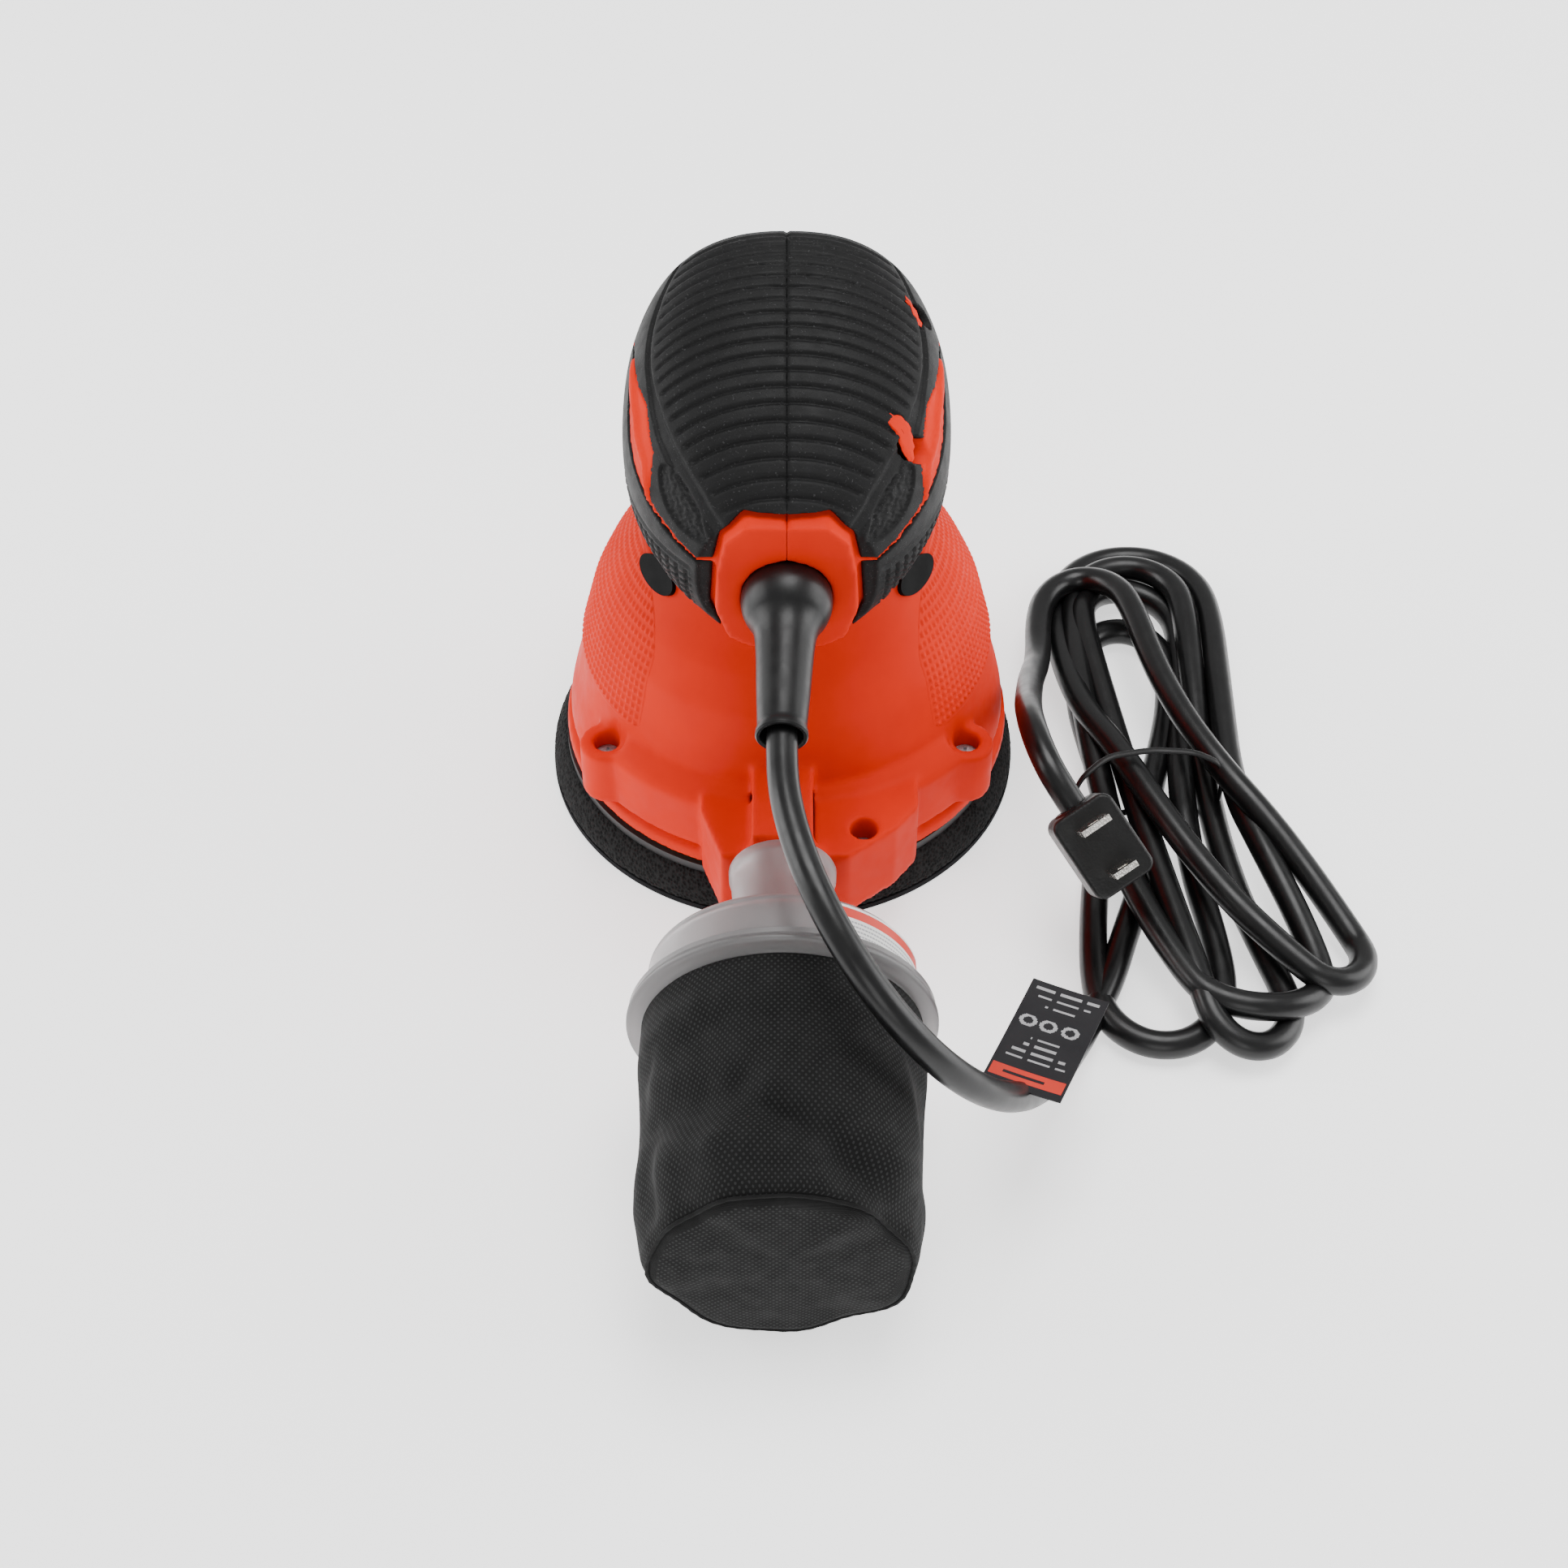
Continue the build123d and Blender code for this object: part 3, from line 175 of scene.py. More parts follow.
class Tree:
    """A node tree under construction, a material's or a group's."""

    def __init__(self, tree: bpy.types.NodeTree) -> None:
        """Empty the tree and give it a node for coordinates."""
        self.tree = tree
        self.nodes = tree.nodes
        self.links = tree.links
        self.nodes.clear()
        self.place = self.add("ShaderNodeTexCoord")

    def add(self, kind: str, **settings: object) -> bpy.types.Node:
        """Add a node and set its properties.

        Args:
            kind: the node's type name.
            settings: its attributes.

        Returns:
            The new node.
        """
        node = self.nodes.new(kind)
        for key, value in settings.items():
            setattr(node, key, value)
        return node

    def join(self, source: bpy.types.Node, output: int | str, target: bpy.types.Node,
             socket: int | str) -> None:
        """Link one node's output to another's input."""
        self.links.new(source.outputs[output], target.inputs[socket])

    def remap(self, source: bpy.types.Node, output: int | str, low: float, high: float) -> bpy.types.Node:
        """A clamped linear map of a value from low and high to 0 and 1."""
        node = self.add("ShaderNodeMapRange")
        node.inputs["From Min"].default_value = low
        node.inputs["From Max"].default_value = high
        self.join(source, output, node, "Value")
        return node

    def math(self, operation: str, first: bpy.types.NodeSocket,
             second: bpy.types.NodeSocket | None = None) -> bpy.types.NodeSocket:
        """A maths node over one or two linked values."""
        node = self.add("ShaderNodeMath", operation=operation)
        self.links.new(first, node.inputs[0])
        if second is not None:
            self.links.new(second, node.inputs[1])
        return node.outputs[0]

    def mix(self, factor: bpy.types.NodeSocket) -> bpy.types.Node:
        """A colour mix whose factor is linked; its colours are inputs 6 and 7, its result output 2."""
        node = self.add("ShaderNodeMix", data_type="RGBA")
        self.links.new(factor, node.inputs[0])
        return node

    def bump(self, source: bpy.types.Node, output: int | str, distance: float) -> bpy.types.Node:
        """A bump of a height in millimetres over a value from 0 to 1."""
        node = self.add("ShaderNodeBump")
        node.inputs["Strength"].default_value = 1.0
        node.inputs["Distance"].default_value = distance * MM
        self.join(source, output, node, "Height")
        return node

    def placed(self, group: bpy.types.NodeTree, **values: object) -> bpy.types.Node:
        """Place a node group with its own values.

        Args:
            group: the group's tree.
            values: its inputs, with underscores for the spaces in their names.

        Returns:
            The group's node.
        """
        node = self.add("ShaderNodeGroup", node_tree=group)
        for key, value in values.items():
            node.inputs[key.replace("_", " ")].default_value = value
        return node


class GroupTree(Tree):
    """The tree of a node group, with named inputs and outputs."""

    def __init__(self, name: str, inputs: dict[str, str], outputs: dict[str, str]) -> None:
        """Make the group's sockets from names and socket types."""
        super().__init__(bpy.data.node_groups.new(name, "ShaderNodeTree"))
        for direction, sockets in (("INPUT", inputs), ("OUTPUT", outputs)):
            for socket, kind in sockets.items():
                self.tree.interface.new_socket(name=socket, in_out=direction, socket_type=kind)
        self.start = self.add("NodeGroupInput")
        self.end = self.add("NodeGroupOutput")

    def noise(self, scale: str, detail: float, vector: bpy.types.Node, output: str) -> bpy.types.Node:
        """A noise texture whose scale is one of the group's inputs."""
        node = self.add("ShaderNodeTexNoise")
        node.inputs["Detail"].default_value = detail
        self.join(self.start, scale, node, "Scale")
        self.join(vector, output, node, "Vector")
        return node


class Effects:
    """The surface effects that the finishes share, each a node group built once."""

    def __init__(self) -> None:
        """Start with no group built."""
        self.groups = {}

    def grain(self) -> bpy.types.NodeTree:
        """Patches between two colours, an uneven gloss and the height of a fine grain."""
        if "grain" not in self.groups:
            number, colour = "NodeSocketFloat", "NodeSocketColor"
            tree = GroupTree(
                "moulded_grain",
                {"First Colour": colour, "Second Colour": colour, "Patch Scale": number,
                 "Grain Scale": number,
                 "Gloss Scale": number, "Low Roughness": number, "High Roughness": number},
                {"Colour": colour, "Roughness": number, "Height": number},
            )
            patch = tree.remap(tree.noise("Patch Scale", 3.0, tree.place, "Object"), 0, 0.35, 0.65)
            blend = tree.mix(patch.outputs[0])
            tree.join(tree.start, "First Colour", blend, 6)
            tree.join(tree.start, "Second Colour", blend, 7)
            tree.join(blend, 2, tree.end, "Colour")
            tree.join(tree.noise("Grain Scale", 3.0, tree.place, "Object"), 0, tree.end, "Height")
            gloss = tree.remap(tree.noise("Gloss Scale", 2.0, tree.place, "Object"), 0, 0.3, 0.7)
            tree.join(tree.start, "Low Roughness", gloss, "To Min")
            tree.join(tree.start, "High Roughness", gloss, "To Max")
            tree.join(gloss, 0, tree.end, "Roughness")
            self.groups["grain"] = tree.tree
        return self.groups["grain"]

    def pattern(self, pattern: Pattern) -> bpy.types.NodeTree:
        """The group that gives a pattern's mask, from 0 to 1.

        Args:
            pattern: which pattern; PLAIN has none.

        Returns:
            The group's tree, with the input Scale and the output Mask.
        """
        if pattern not in self.groups:
            number = "NodeSocketFloat"
            tree = GroupTree(f"{pattern.value}_mask", {"Scale": number}, {"Mask": number})
            makers = {Pattern.SPECKLE: self.speckle, Pattern.PORES: self.pores, Pattern.BRUSHED: self.brushed,
                      Pattern.BANDS: self.bands, Pattern.DOTS: self.dots}
            tree.join(makers[pattern](tree), 0, tree.end, "Mask")
            self.groups[pattern] = tree.tree
        return self.groups[pattern]

    @staticmethod
    def speckle(tree: GroupTree) -> bpy.types.Node:
        """Scattered light grains: only the peaks of a noise."""
        return tree.remap(tree.noise("Scale", 1.0, tree.place, "Object"), 0, 0.66, 0.74)

    @staticmethod
    def pores(tree: GroupTree) -> bpy.types.Node:
        """Open foam cells: the distance from scattered centres."""
        cells = tree.add("ShaderNodeTexVoronoi")
        tree.join(tree.start, "Scale", cells, "Scale")
        tree.join(tree.place, "Object", cells, "Vector")
        return tree.remap(cells, "Distance", 0.15, 0.7)

    @staticmethod
    def brushed(tree: GroupTree) -> bpy.types.Node:
        """Long scratches: a noise that is stretched along z."""
        stretch = tree.add("ShaderNodeMapping")
        stretch.inputs["Scale"].default_value = (1.0, 1.0, 0.08)
        tree.join(tree.place, "Object", stretch, "Vector")
        return tree.remap(tree.noise("Scale", 2.0, stretch, "Vector"), 0, 0.35, 0.7)

    @staticmethod
    def bands(tree: GroupTree) -> bpy.types.Node:
        """Even bands up z: half of one plus the sine of the scaled height."""
        parts = tree.add("ShaderNodeSeparateXYZ")
        tree.join(tree.place, "Object", parts, 0)
        wave = tree.math("SINE", tree.math("MULTIPLY", parts.outputs[2], tree.start.outputs["Scale"]))
        raised = tree.add("ShaderNodeMath", operation="MULTIPLY_ADD")
        tree.links.new(wave, raised.inputs[0])
        raised.inputs[1].default_value = 0.5
        raised.inputs[2].default_value = 0.5
        return raised

    @staticmethod
    def dots(tree: GroupTree) -> bpy.types.Node:
        """Staggered dots in the piece's UV map: the squared product of two slanting sines."""
        parts = tree.add("ShaderNodeSeparateXYZ")
        tree.join(tree.place, "UV", parts, 0)
        scale = tree.start.outputs["Scale"]
        both = tree.math("ADD", parts.outputs[0], parts.outputs[1])
        apart = tree.math("SUBTRACT", parts.outputs[0], parts.outputs[1])
        across = tree.math("SINE", tree.math("MULTIPLY", both, scale))
        along = tree.math("SINE", tree.math("MULTIPLY", apart, scale))
        product = tree.math("MULTIPLY", across, along)
        squared = tree.math("MULTIPLY", product, product)
        return tree.remap(squared.node, 0, 0.34, 0.62)


class Palette:
    """The object's materials by finish name, each built once."""

    def __init__(self) -> None:
        """Start with no material built and no slot known."""
        self.built = {}
        self.effects = Effects()
        self.slots = set()

    def get(self, name: str) -> bpy.types.Material:
        """The material of a finish, made on first use."""
        if name not in self.built:
            self.built[name] = self.build(FINISHES[name])
        return self.built[name]

    def build(self, finish: Finish) -> bpy.types.Material:
        """Make the Blender material of a finish.

        Args:
            finish: the colours, grain and pattern wanted.

        Returns:
            The material.
        """
        material = bpy.data.materials.new(finish.name)
        material.use_nodes = True
        tree = Tree(material.node_tree)
        output = tree.add("ShaderNodeOutputMaterial")
        shader = tree.add("ShaderNodeBsdfPrincipled")
        tree.join(shader, "BSDF", output, "Surface")
        grain = tree.placed(
            self.effects.grain(), First_Colour=(*finish.colour, 1.0), Second_Colour=(*finish.second, 1.0),
            Patch_Scale=1 / (finish.patch * MM), Grain_Scale=1 / (finish.grain * MM),
            Gloss_Scale=1 / (finish.patch * 0.3 * MM),
            Low_Roughness=max(0.03, finish.roughness - finish.spread),
            High_Roughness=finish.roughness + finish.spread,
        )
        colour = grain.outputs["Colour"]
        height = tree.bump(grain, "Height", finish.relief)
        if finish.pattern is not Pattern.PLAIN:
            mask = tree.placed(self.effects.pattern(finish.pattern), Scale=finish.pattern_scale())
            marked = tree.mix(mask.outputs["Mask"])
            tree.links.new(colour, marked.inputs[6])
            marked.inputs[7].default_value = (*finish.mark, 1.0)
            colour = marked.outputs[2]
            raised = tree.bump(mask, "Mask", finish.relief * 1.6)
            tree.join(height, 0, raised, "Normal")
            height = raised
        tree.join(height, 0, shader, "Normal")
        tree.links.new(colour, shader.inputs["Base Color"])
        tree.join(grain, "Roughness", shader, "Roughness")
        shader.inputs["Metallic"].default_value = finish.metallic
        shader.inputs["Specular IOR Level"].default_value = finish.specular
        shader.inputs["Transmission Weight"].default_value = finish.transmission
        shader.inputs["Coat Weight"].default_value = finish.coat
        material.diffuse_color = (*finish.colour, 1.0)
        return material


PALETTE = Palette()


# ---- Meshes -----------------------------------------------------------------------------------
def grid_faces(rows: int, columns: int, wrap: bool) -> list:
    """Quads over a grid of points.

    Args:
        rows: how many rows of points there are.
        columns: how many points a row has.
        wrap: whether the last column meets the first.

    Returns:
        Lists of four point numbers: a point, the one beside it, and the two in the next row.
    """
    span = columns if wrap else columns - 1
    first = np.arange(rows - 1)[:, None] * columns + np.arange(span)[None, :]
    beside = np.arange(rows - 1)[:, None] * columns + (np.arange(span)[None, :] + 1) % columns
    quads = np.stack([first, beside, beside + columns, first + columns], axis=-1)
    return quads.reshape(-1, 4).tolist()


def make_object(name: str, points: np.ndarray, faces: list, finishes: str | Sequence[str], body: str,
                sharp: float = 38.0) -> bpy.types.Object:
    """Build a mesh piece and let it ride on a body.

    Args:
        name: the piece's name.
        points: an array of positions in millimetres.
        faces: lists of point numbers.
        finishes: one finish name or several, in material order.
        body: the body that it moves with.
        sharp: the angle in degrees above which an edge stays crisp.

    Returns:
        The new object.
    """
    mesh = bpy.data.meshes.new(name)
    mesh.from_pydata((np.asarray(points, float).reshape(-1, 3) * MM).tolist(), [], faces)
    mesh.validate()
    return place_mesh(name, mesh, finishes, body, sharp)


def place_mesh(name: str, mesh: bpy.types.Mesh, finishes: str | Sequence[str], body: str,
               sharp: float = 38.0) -> bpy.types.Object:
    """Link a mesh as a piece with its finishes, shading and body.

    Args:
        name: the piece's name.
        mesh: its mesh, in the row frame.
        finishes: one finish name or several, in material order.
        body: the body that it moves with.
        sharp: the angle in degrees above which an edge stays crisp.

    Returns:
        The new object.
    """
    mesh.name = name
    names = (finishes,) if isinstance(finishes, str) else finishes
    mesh.materials.clear()
    for finish in names:
        mesh.materials.append(PALETTE.get(finish))
    mesh.shade_smooth()
    if sharp < 180:
        mesh.set_sharp_from_angle(angle=math.radians(sharp))
    piece = bpy.data.objects.new(name, mesh)
    bpy.context.scene.collection.objects.link(piece)
    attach(piece, body)
    return piece


def read_points(mesh: bpy.types.Mesh) -> np.ndarray:
    """The mesh's points in millimetres."""
    flat = np.empty(len(mesh.vertices) * 3)
    mesh.vertices.foreach_get("co", flat)
    return flat.reshape(-1, 3) / MM


def write_points(mesh: bpy.types.Mesh, points: np.ndarray) -> None:
    """Move the mesh's points, given in millimetres."""
    mesh.vertices.foreach_set("co", (np.asarray(points) * MM).ravel())
    mesh.update()


def write_uv(mesh: bpy.types.Mesh, points_uv: np.ndarray) -> None:
    """Give every corner the (u, v) of its point, which is in millimetres, as metres."""
    layer = mesh.uv_layers.new(name="UVMap")
    corners = np.empty(len(mesh.loops), dtype=int)
    mesh.loops.foreach_get("vertex_index", corners)
    layer.data.foreach_set("uv", (np.asarray(points_uv)[corners] * MM).ravel())


def smooth_step(low: float, high: float, value: np.ndarray | float) -> np.ndarray:
    """0 below low, 1 above high, and the cubic 3s^2 - 2s^3 of the share s between them."""
    share = np.clip((np.asarray(value) - low) / (high - low), 0.0, 1.0)
    return share * share * (3 - 2 * share)


def baked(piece: bpy.types.Object) -> bpy.types.Mesh:
    """The mesh of a piece after its modifiers."""
    bpy.context.view_layer.update()
    return bpy.data.meshes.new_from_object(piece.evaluated_get(bpy.context.evaluated_depsgraph_get()))


def remeshed(nodes: Sequence[bpy.types.Object], voxel: float, rounds: int) -> bpy.types.Mesh:
    """A copy of CAD solids as one even mesh with softened, moulded edges.

    Args:
        nodes: the CAD objects to copy.
        voxel: the mesh's spacing in millimetres.
        rounds: how often the edges are smoothed.

    Returns:
        The new mesh, linked to nothing.
    """
    points = []
    faces = []
    for node in nodes:
        offset = len(points)
        seen = {}
        numbers = []
        for vertex in node.data.vertices:
            key = tuple(round(value, 7) for value in vertex.co)
            if key not in seen:
                seen[key] = offset + len(seen)
                points.append(vertex.co)
            numbers.append(seen[key])
        for polygon in node.data.polygons:
            corners = [numbers[index] for index in polygon.vertices]
            if len(set(corners)) == len(corners):
                faces.append(corners)
    mesh = bpy.data.meshes.new("copy")
    mesh.from_pydata([tuple(point) for point in points], [], faces)
    piece = bpy.data.objects.new("copy", mesh)
    bpy.context.scene.collection.objects.link(piece)
    remesh = piece.modifiers.new("Remesh", "REMESH")
    remesh.mode = "VOXEL"
    remesh.voxel_size = voxel * MM
    smooth = piece.modifiers.new("Smooth", "SMOOTH")
    smooth.factor = 0.5
    smooth.iterations = rounds
    result = baked(piece)
    bpy.data.objects.remove(piece)
    return result


@dataclass(frozen=True)
class Axis3:
    """A local frame: origin, the direction of local x and the direction of local z."""

    origin: tuple
    x_dir: tuple
    z_dir: tuple

    def place(self, local: np.ndarray) -> np.ndarray:
        """Local positions as positions in the row frame.

        Args:
            local: positions along the three local axes, millimetres.

        Returns:
            The origin plus each share along local x, y and z, where y is z cross x.
        """
        z_axis = np.asarray(self.z_dir, float)
        z_axis = z_axis / np.linalg.norm(z_axis)
        x_axis = np.asarray(self.x_dir, float)
        x_axis = x_axis - z_axis * float(np.dot(x_axis, z_axis))
        x_axis = x_axis / np.linalg.norm(x_axis)
        y_axis = np.cross(z_axis, x_axis)
        return np.asarray(self.origin) + np.asarray(local) @ np.array([x_axis, y_axis, z_axis])

    def local(self, points: np.ndarray) -> np.ndarray:
        """Positions in the row frame as local positions."""
        basis = self.place(np.eye(3)) - np.asarray(self.origin)
        return (np.asarray(points) - np.asarray(self.origin)) @ basis.T


def lathe(name: str, axis: Axis3, profile: Sequence, finish: str, body: str, segments: int = 120,
          sharp: float = 38.0) -> bpy.types.Object:
    """A piece turned round an axis from a closed outline.

    Args:
        name: the piece's name.
        axis: the frame whose z it turns round.
        profile: (radius, along) points; each row of the mesh is one of them carried round the axis.
        finish: the finish's name.
        body: the body that it moves with.
        segments: how many points a turn has.
        sharp: the angle in degrees above which an edge stays crisp.

    Returns:
        The new object.
    """
    turns = 2 * math.pi * np.arange(segments) / segments
    outline = np.array(list(profile) + [profile[0]])
    rows = [np.stack([radius * np.cos(turns), radius * np.sin(turns), np.full(segments, along)], axis=-1)
            for radius, along in outline]
    points = axis.place(np.concatenate(rows))
    piece = make_object(name, points, grid_faces(len(outline), segments, True), finish, body, sharp)
    weld = piece.modifiers.new("Weld", "WELD")
    weld.merge_threshold = 0.002 * MM
    mesh = baked(piece)
    piece.modifiers.clear()
    piece.data = mesh
    mesh.shade_smooth()
    mesh.set_sharp_from_angle(angle=math.radians(sharp))
    return piece


def arc(centre: tuple, radius: float, start: float, end: float, count: int) -> list:
    """Points of a round corner in a lathe outline: the centre plus the radius at even angles.

    Args:
        centre: the corner's (radius, along) centre.
        radius: its radius.
        start: the first angle in degrees.
        end: the last angle in degrees.
        count: how many points it has.

    Returns:
        The (radius, along) points.
    """
    return [(centre[0] + radius * math.cos(math.radians(turn)),
             centre[1] + radius * math.sin(math.radians(turn)))
            for turn in np.linspace(start, end, count)]


def valley(distance: np.ndarray, width: float, depth: float) -> np.ndarray:
    """A rounded groove: the depth times a bell of the distance over half the width, downwards."""
    return -depth * np.exp(-(distance / (0.5 * width)) ** 2)


# ---- Head ------------------------------------------------------------------------------------
@dataclass(frozen=True)
class Head:
    """The clamshell head: a superellipse in section, its orange shells, its rubber grips and inlays."""

    roundness: float = 2.4
    half_width: float = 39.9
    wide_z: float = 112.0
    top_z: float = 150.0
    top_y: float = 24.0
    nose_y: float = 48.5
    tail_y: float = -56.0
    shell_voxel: float = 0.9
    grip_voxel: float = 0.42
    rib_pitch: float = 3.9
    rib_first: float = 4.8
    window_top: tuple = ((-70, 108.5), (-47, 111.0), (-33, 117.0), (-27, 126.0), (-15, 131.0), (6, 129.6),
                         (30, 124.0), (70, 118.0))
    window_low: tuple = ((-70, 107.7), (-47, 110.2), (-33, 115.5), (-20, 120.0), (-8, 125.0), (6, 129.0),
                         (30, 123.4), (70, 117.4))

    def section(self, points: np.ndarray) -> np.ndarray:
        """1 on the head's skin, less inside and more outside.

        Args:
            points: positions in millimetres, in the last axis.

        Returns:
            The superellipse norm of x over the half width and of z over the half height at that y.
        """
        x, y, z = points[..., 0], np.clip(points[..., 1], -50.0, 48.35), points[..., 2]
        ahead = np.clip(y / self.nose_y, 0, 1)
        behind = np.clip(y / self.tail_y, 0, 1)
        width = np.where(y >= 0, (1 - ahead ** self.roundness) ** (1 / self.roundness),
                         (1 - behind ** self.roundness) ** 0.574)
        width = self.half_width * width
        middle = self.wide_z - 7 * (np.minimum(0, y) / 50) ** 2
        reach = np.clip((y - self.top_y) / (self.nose_y - self.top_y), 0, 1)
        top = np.where(y <= self.top_y, self.top_z - 28 * (np.clip(self.top_y - y, 0, None) / 74) ** 2.2,
                       self.wide_z + (self.top_z - self.wide_z) * (1 - reach ** 1.75) ** (1 / 1.75))
        bottom = np.where(y <= 0, 84.0 + 1.7 * (y / 50) ** 2,
                          self.wide_z - 28 * (1 - ahead ** 2.6) ** (1 / 2.6))
        height = np.where(z > middle, top - middle, middle - bottom)
        across = (np.abs(x) / width) ** self.roundness
        upright = (np.abs(z - middle) / height) ** self.roundness
        return (across + upright) ** (1 / self.roundness)

    def skin(self, points: np.ndarray) -> tuple[np.ndarray, np.ndarray]:
        """How far each point is outside the head's skin, and the skin's outward direction there.

        Args:
            points: positions in millimetres.

        Returns:
            The section's excess over 1 divided by its slope, and the unit slope.
        """
        step = 0.03
        slope = np.stack([(self.section(points + step * axis) - self.section(points - step * axis))
                          / (2 * step)
                          for axis in np.eye(3)], axis=-1)
        size = np.linalg.norm(slope, axis=-1, keepdims=True) + 1e-9
        return (self.section(points) - 1) / size[..., 0], slope / size

    def drop_to_skin(self, points: np.ndarray) -> tuple[np.ndarray, np.ndarray]:
        """Points brought onto the head's skin, and its outward direction there."""
        for _ in range(4):
            gap, outward = self.skin(points)
            points = points - outward * gap[..., None]
        return points, self.skin(points)[1]

    @staticmethod
    def window_line(line: tuple, y: np.ndarray) -> np.ndarray:
        """Height of one of the window's edges at y."""
        return np.interp(y, [point[0] for point in line], [point[1] for point in line])

    @staticmethod
    def field_half(y: np.ndarray) -> np.ndarray:
        """Half width of the ribbed field on the top grip, a parabola along y."""
        return 32.0 * (1 - ((y + 2) / 60) ** 2)

    def top_relief(self, points: np.ndarray) -> np.ndarray:
        """Relief of the top grip: ribs, a border groove and pebbled corner pads.

        Args:
            points: positions in millimetres.

        Returns:
            How far the skin rises, or sinks where it is negative.
        """
        x, y, z = points[:, 0], points[:, 1], points[:, 2]
        side = np.abs(x)
        half = self.field_half(y)
        phase = (y + self.rib_first + 3.4 * (x / 30) ** 2) / self.rib_pitch
        off = np.abs(phase - np.round(phase)) * self.rib_pitch
        inside = smooth_step(0.6, 2.0, half - side) * smooth_step(-47.0, -45.0, y)
        inside = inside * (1 - smooth_step(36, 39, y))
        relief = valley(off, 1.0, 0.8) * inside
        relief = relief + valley(side, 0.9, 0.4) * inside
        border = 1.2 + 1.8 * smooth_step(8, 38, -y)
        rim = np.abs(side - half - 0.6 * border)
        edge = 1 - smooth_step(0.35 * border, 0.62 * border, rim)
        relief = relief - 0.8 * edge * (1 - smooth_step(34, 38, y))
        spine = 116.2 + (y + 46.5) * 0.56
        leaf = 2.9 * np.sqrt(np.clip(1 - ((y + 38.8) / 8.2) ** 2, 0, 1))
        inner = np.abs(z - spine - 0.4)
        pad = smooth_step(-0.2, 0.4, leaf - inner) * (side > 12) * (y < -30)
        pebble = 0.22 * np.sin(y * 3.3 + 1.2 * np.sin(z * 2.1)) * np.sin(z * 3.9 + 0.9 * np.sin(y * 2.7))
        return relief + pad * (pebble - 0.7)

    @staticmethod
    def side_relief(points: np.ndarray) -> np.ndarray:
        """Relief of the lower grip: a smooth lip above a band of small moulded blocks.

        Args:
            points: positions in millimetres.

        Returns:
            How far the skin rises, or sinks where it is negative.
        """
        x, y, z = points[:, 0], points[:, 1], points[:, 2]
        turn = np.degrees(np.arctan2(np.abs(x), -y))
        around = np.radians(turn) * 36.0
        panel_top = 105.2 + 0.035 * turn
        mask = smooth_step(0, 0.8, panel_top - z) * smooth_step(88.6, 89.6, z) * smooth_step(25, 27, turn)
        mask = mask * (1 - smooth_step(118, 122, turn))
        across = np.cos(2 * np.pi * around / 2.3)
        upright = np.cos(2 * np.pi * z / 2.1)
        blocks = smooth_step(-0.75, -0.2, across) * smooth_step(-0.75, -0.2, upright)
        relief = mask * (0.75 * blocks - 0.6)
        return relief + valley(np.abs(z - panel_top - 1.2), 1.2, 0.45) * smooth_step(25, 27, turn)

    def window_relief(self, points: np.ndarray) -> np.ndarray:
        """Relief of the housing: the long rib along the side window.

        Args:
            points: positions in millimetres.

        Returns:
            How far the skin rises, or sinks where it is negative.
        """
        y, z = points[:, 1], points[:, 2]
        high = self.window_line(self.window_top, y)
        low = self.window_line(self.window_low, y)
        inside = smooth_step(0.3, 2.5, high - low) * (z < high + 0.5) * (z > low - 0.5)
        middle = low + 0.55 * (high - low)
        return inside * (1.0 * np.exp(-(((z - middle) / 0.9) ** 4)) - 0.35)

    def sculpt(self, mesh: bpy.types.Mesh, relief: Callable, lowest: float) -> None:
        """Bring a moulding's outer face onto the head's skin and add its relief.

        Args:
            mesh: the moulding's mesh.
            relief: one of the relief methods.
            lowest: the height below which nothing moves, millimetres.
        """
        points = read_points(mesh)
        gap, outward = self.skin(points)
        weight = smooth_step(-0.75, -0.3, gap) * (gap < 1.2) * (points[:, 1] < 48.0)
        weight = weight * smooth_step(lowest, lowest + 2, points[:, 2]) * (points[:, 1] > -47.2)
        raised = relief(points) * smooth_step(-0.9, -0.2, gap) * (gap < 1.5)
        shift = -gap * weight * (np.abs(gap) < 1.0) + raised
        shift = np.clip(shift, -1.3, 1.2)
        write_points(mesh, points + outward * shift[:, None])

    def inlay(self, name: str, centre: tuple, outline: tuple, lift: float, finish: str,
              body: str) -> bpy.types.Object:
        """A thin inlay on the head: a smoothed closed outline filled by rings that shrink to its centre.

        Args:
            name: the piece's name.
            centre: the rings' (x, y) centre.
            outline: (x, y) points round it.
            lift: how far it stands off the skin, millimetres.
            finish: the finish's name.
            body: the body that it moves with.

        Returns:
            The new object.
        """
        corners = np.array(outline, float)
        count = 6
        closed = np.vstack([corners, corners[:1]])
        steps = np.linspace(0, 1, 9)[:-1, None]
        fine = np.concatenate([closed[index] + (closed[index + 1] - closed[index]) * steps
                               for index in range(len(corners))])
        for _ in range(6):
            fine = 0.5 * fine + 0.25 * (np.roll(fine, 1, axis=0) + np.roll(fine, -1, axis=0))
        middle = np.array(centre, float)
        shares = np.linspace(0.02, 1.0, count)
        flat = np.concatenate([middle + (fine - middle) * share for share in shares])
        start = np.column_stack([flat, np.full(len(flat), 150.0)])
        skin = start.copy()
        for _ in range(40):
            inside = self.section(skin) < 1
            skin[:, 2] = np.where(inside, skin[:, 2] + 0.3, skin[:, 2] - 1.2)
        skin, outward = self.drop_to_skin(skin)
        edge = np.repeat(1 - shares ** 10, len(fine))
        points = skin + outward * (lift * edge - 0.25 * (1 - edge))[:, None]
        return make_object(name, points, grid_faces(count, len(fine), True), finish, body)

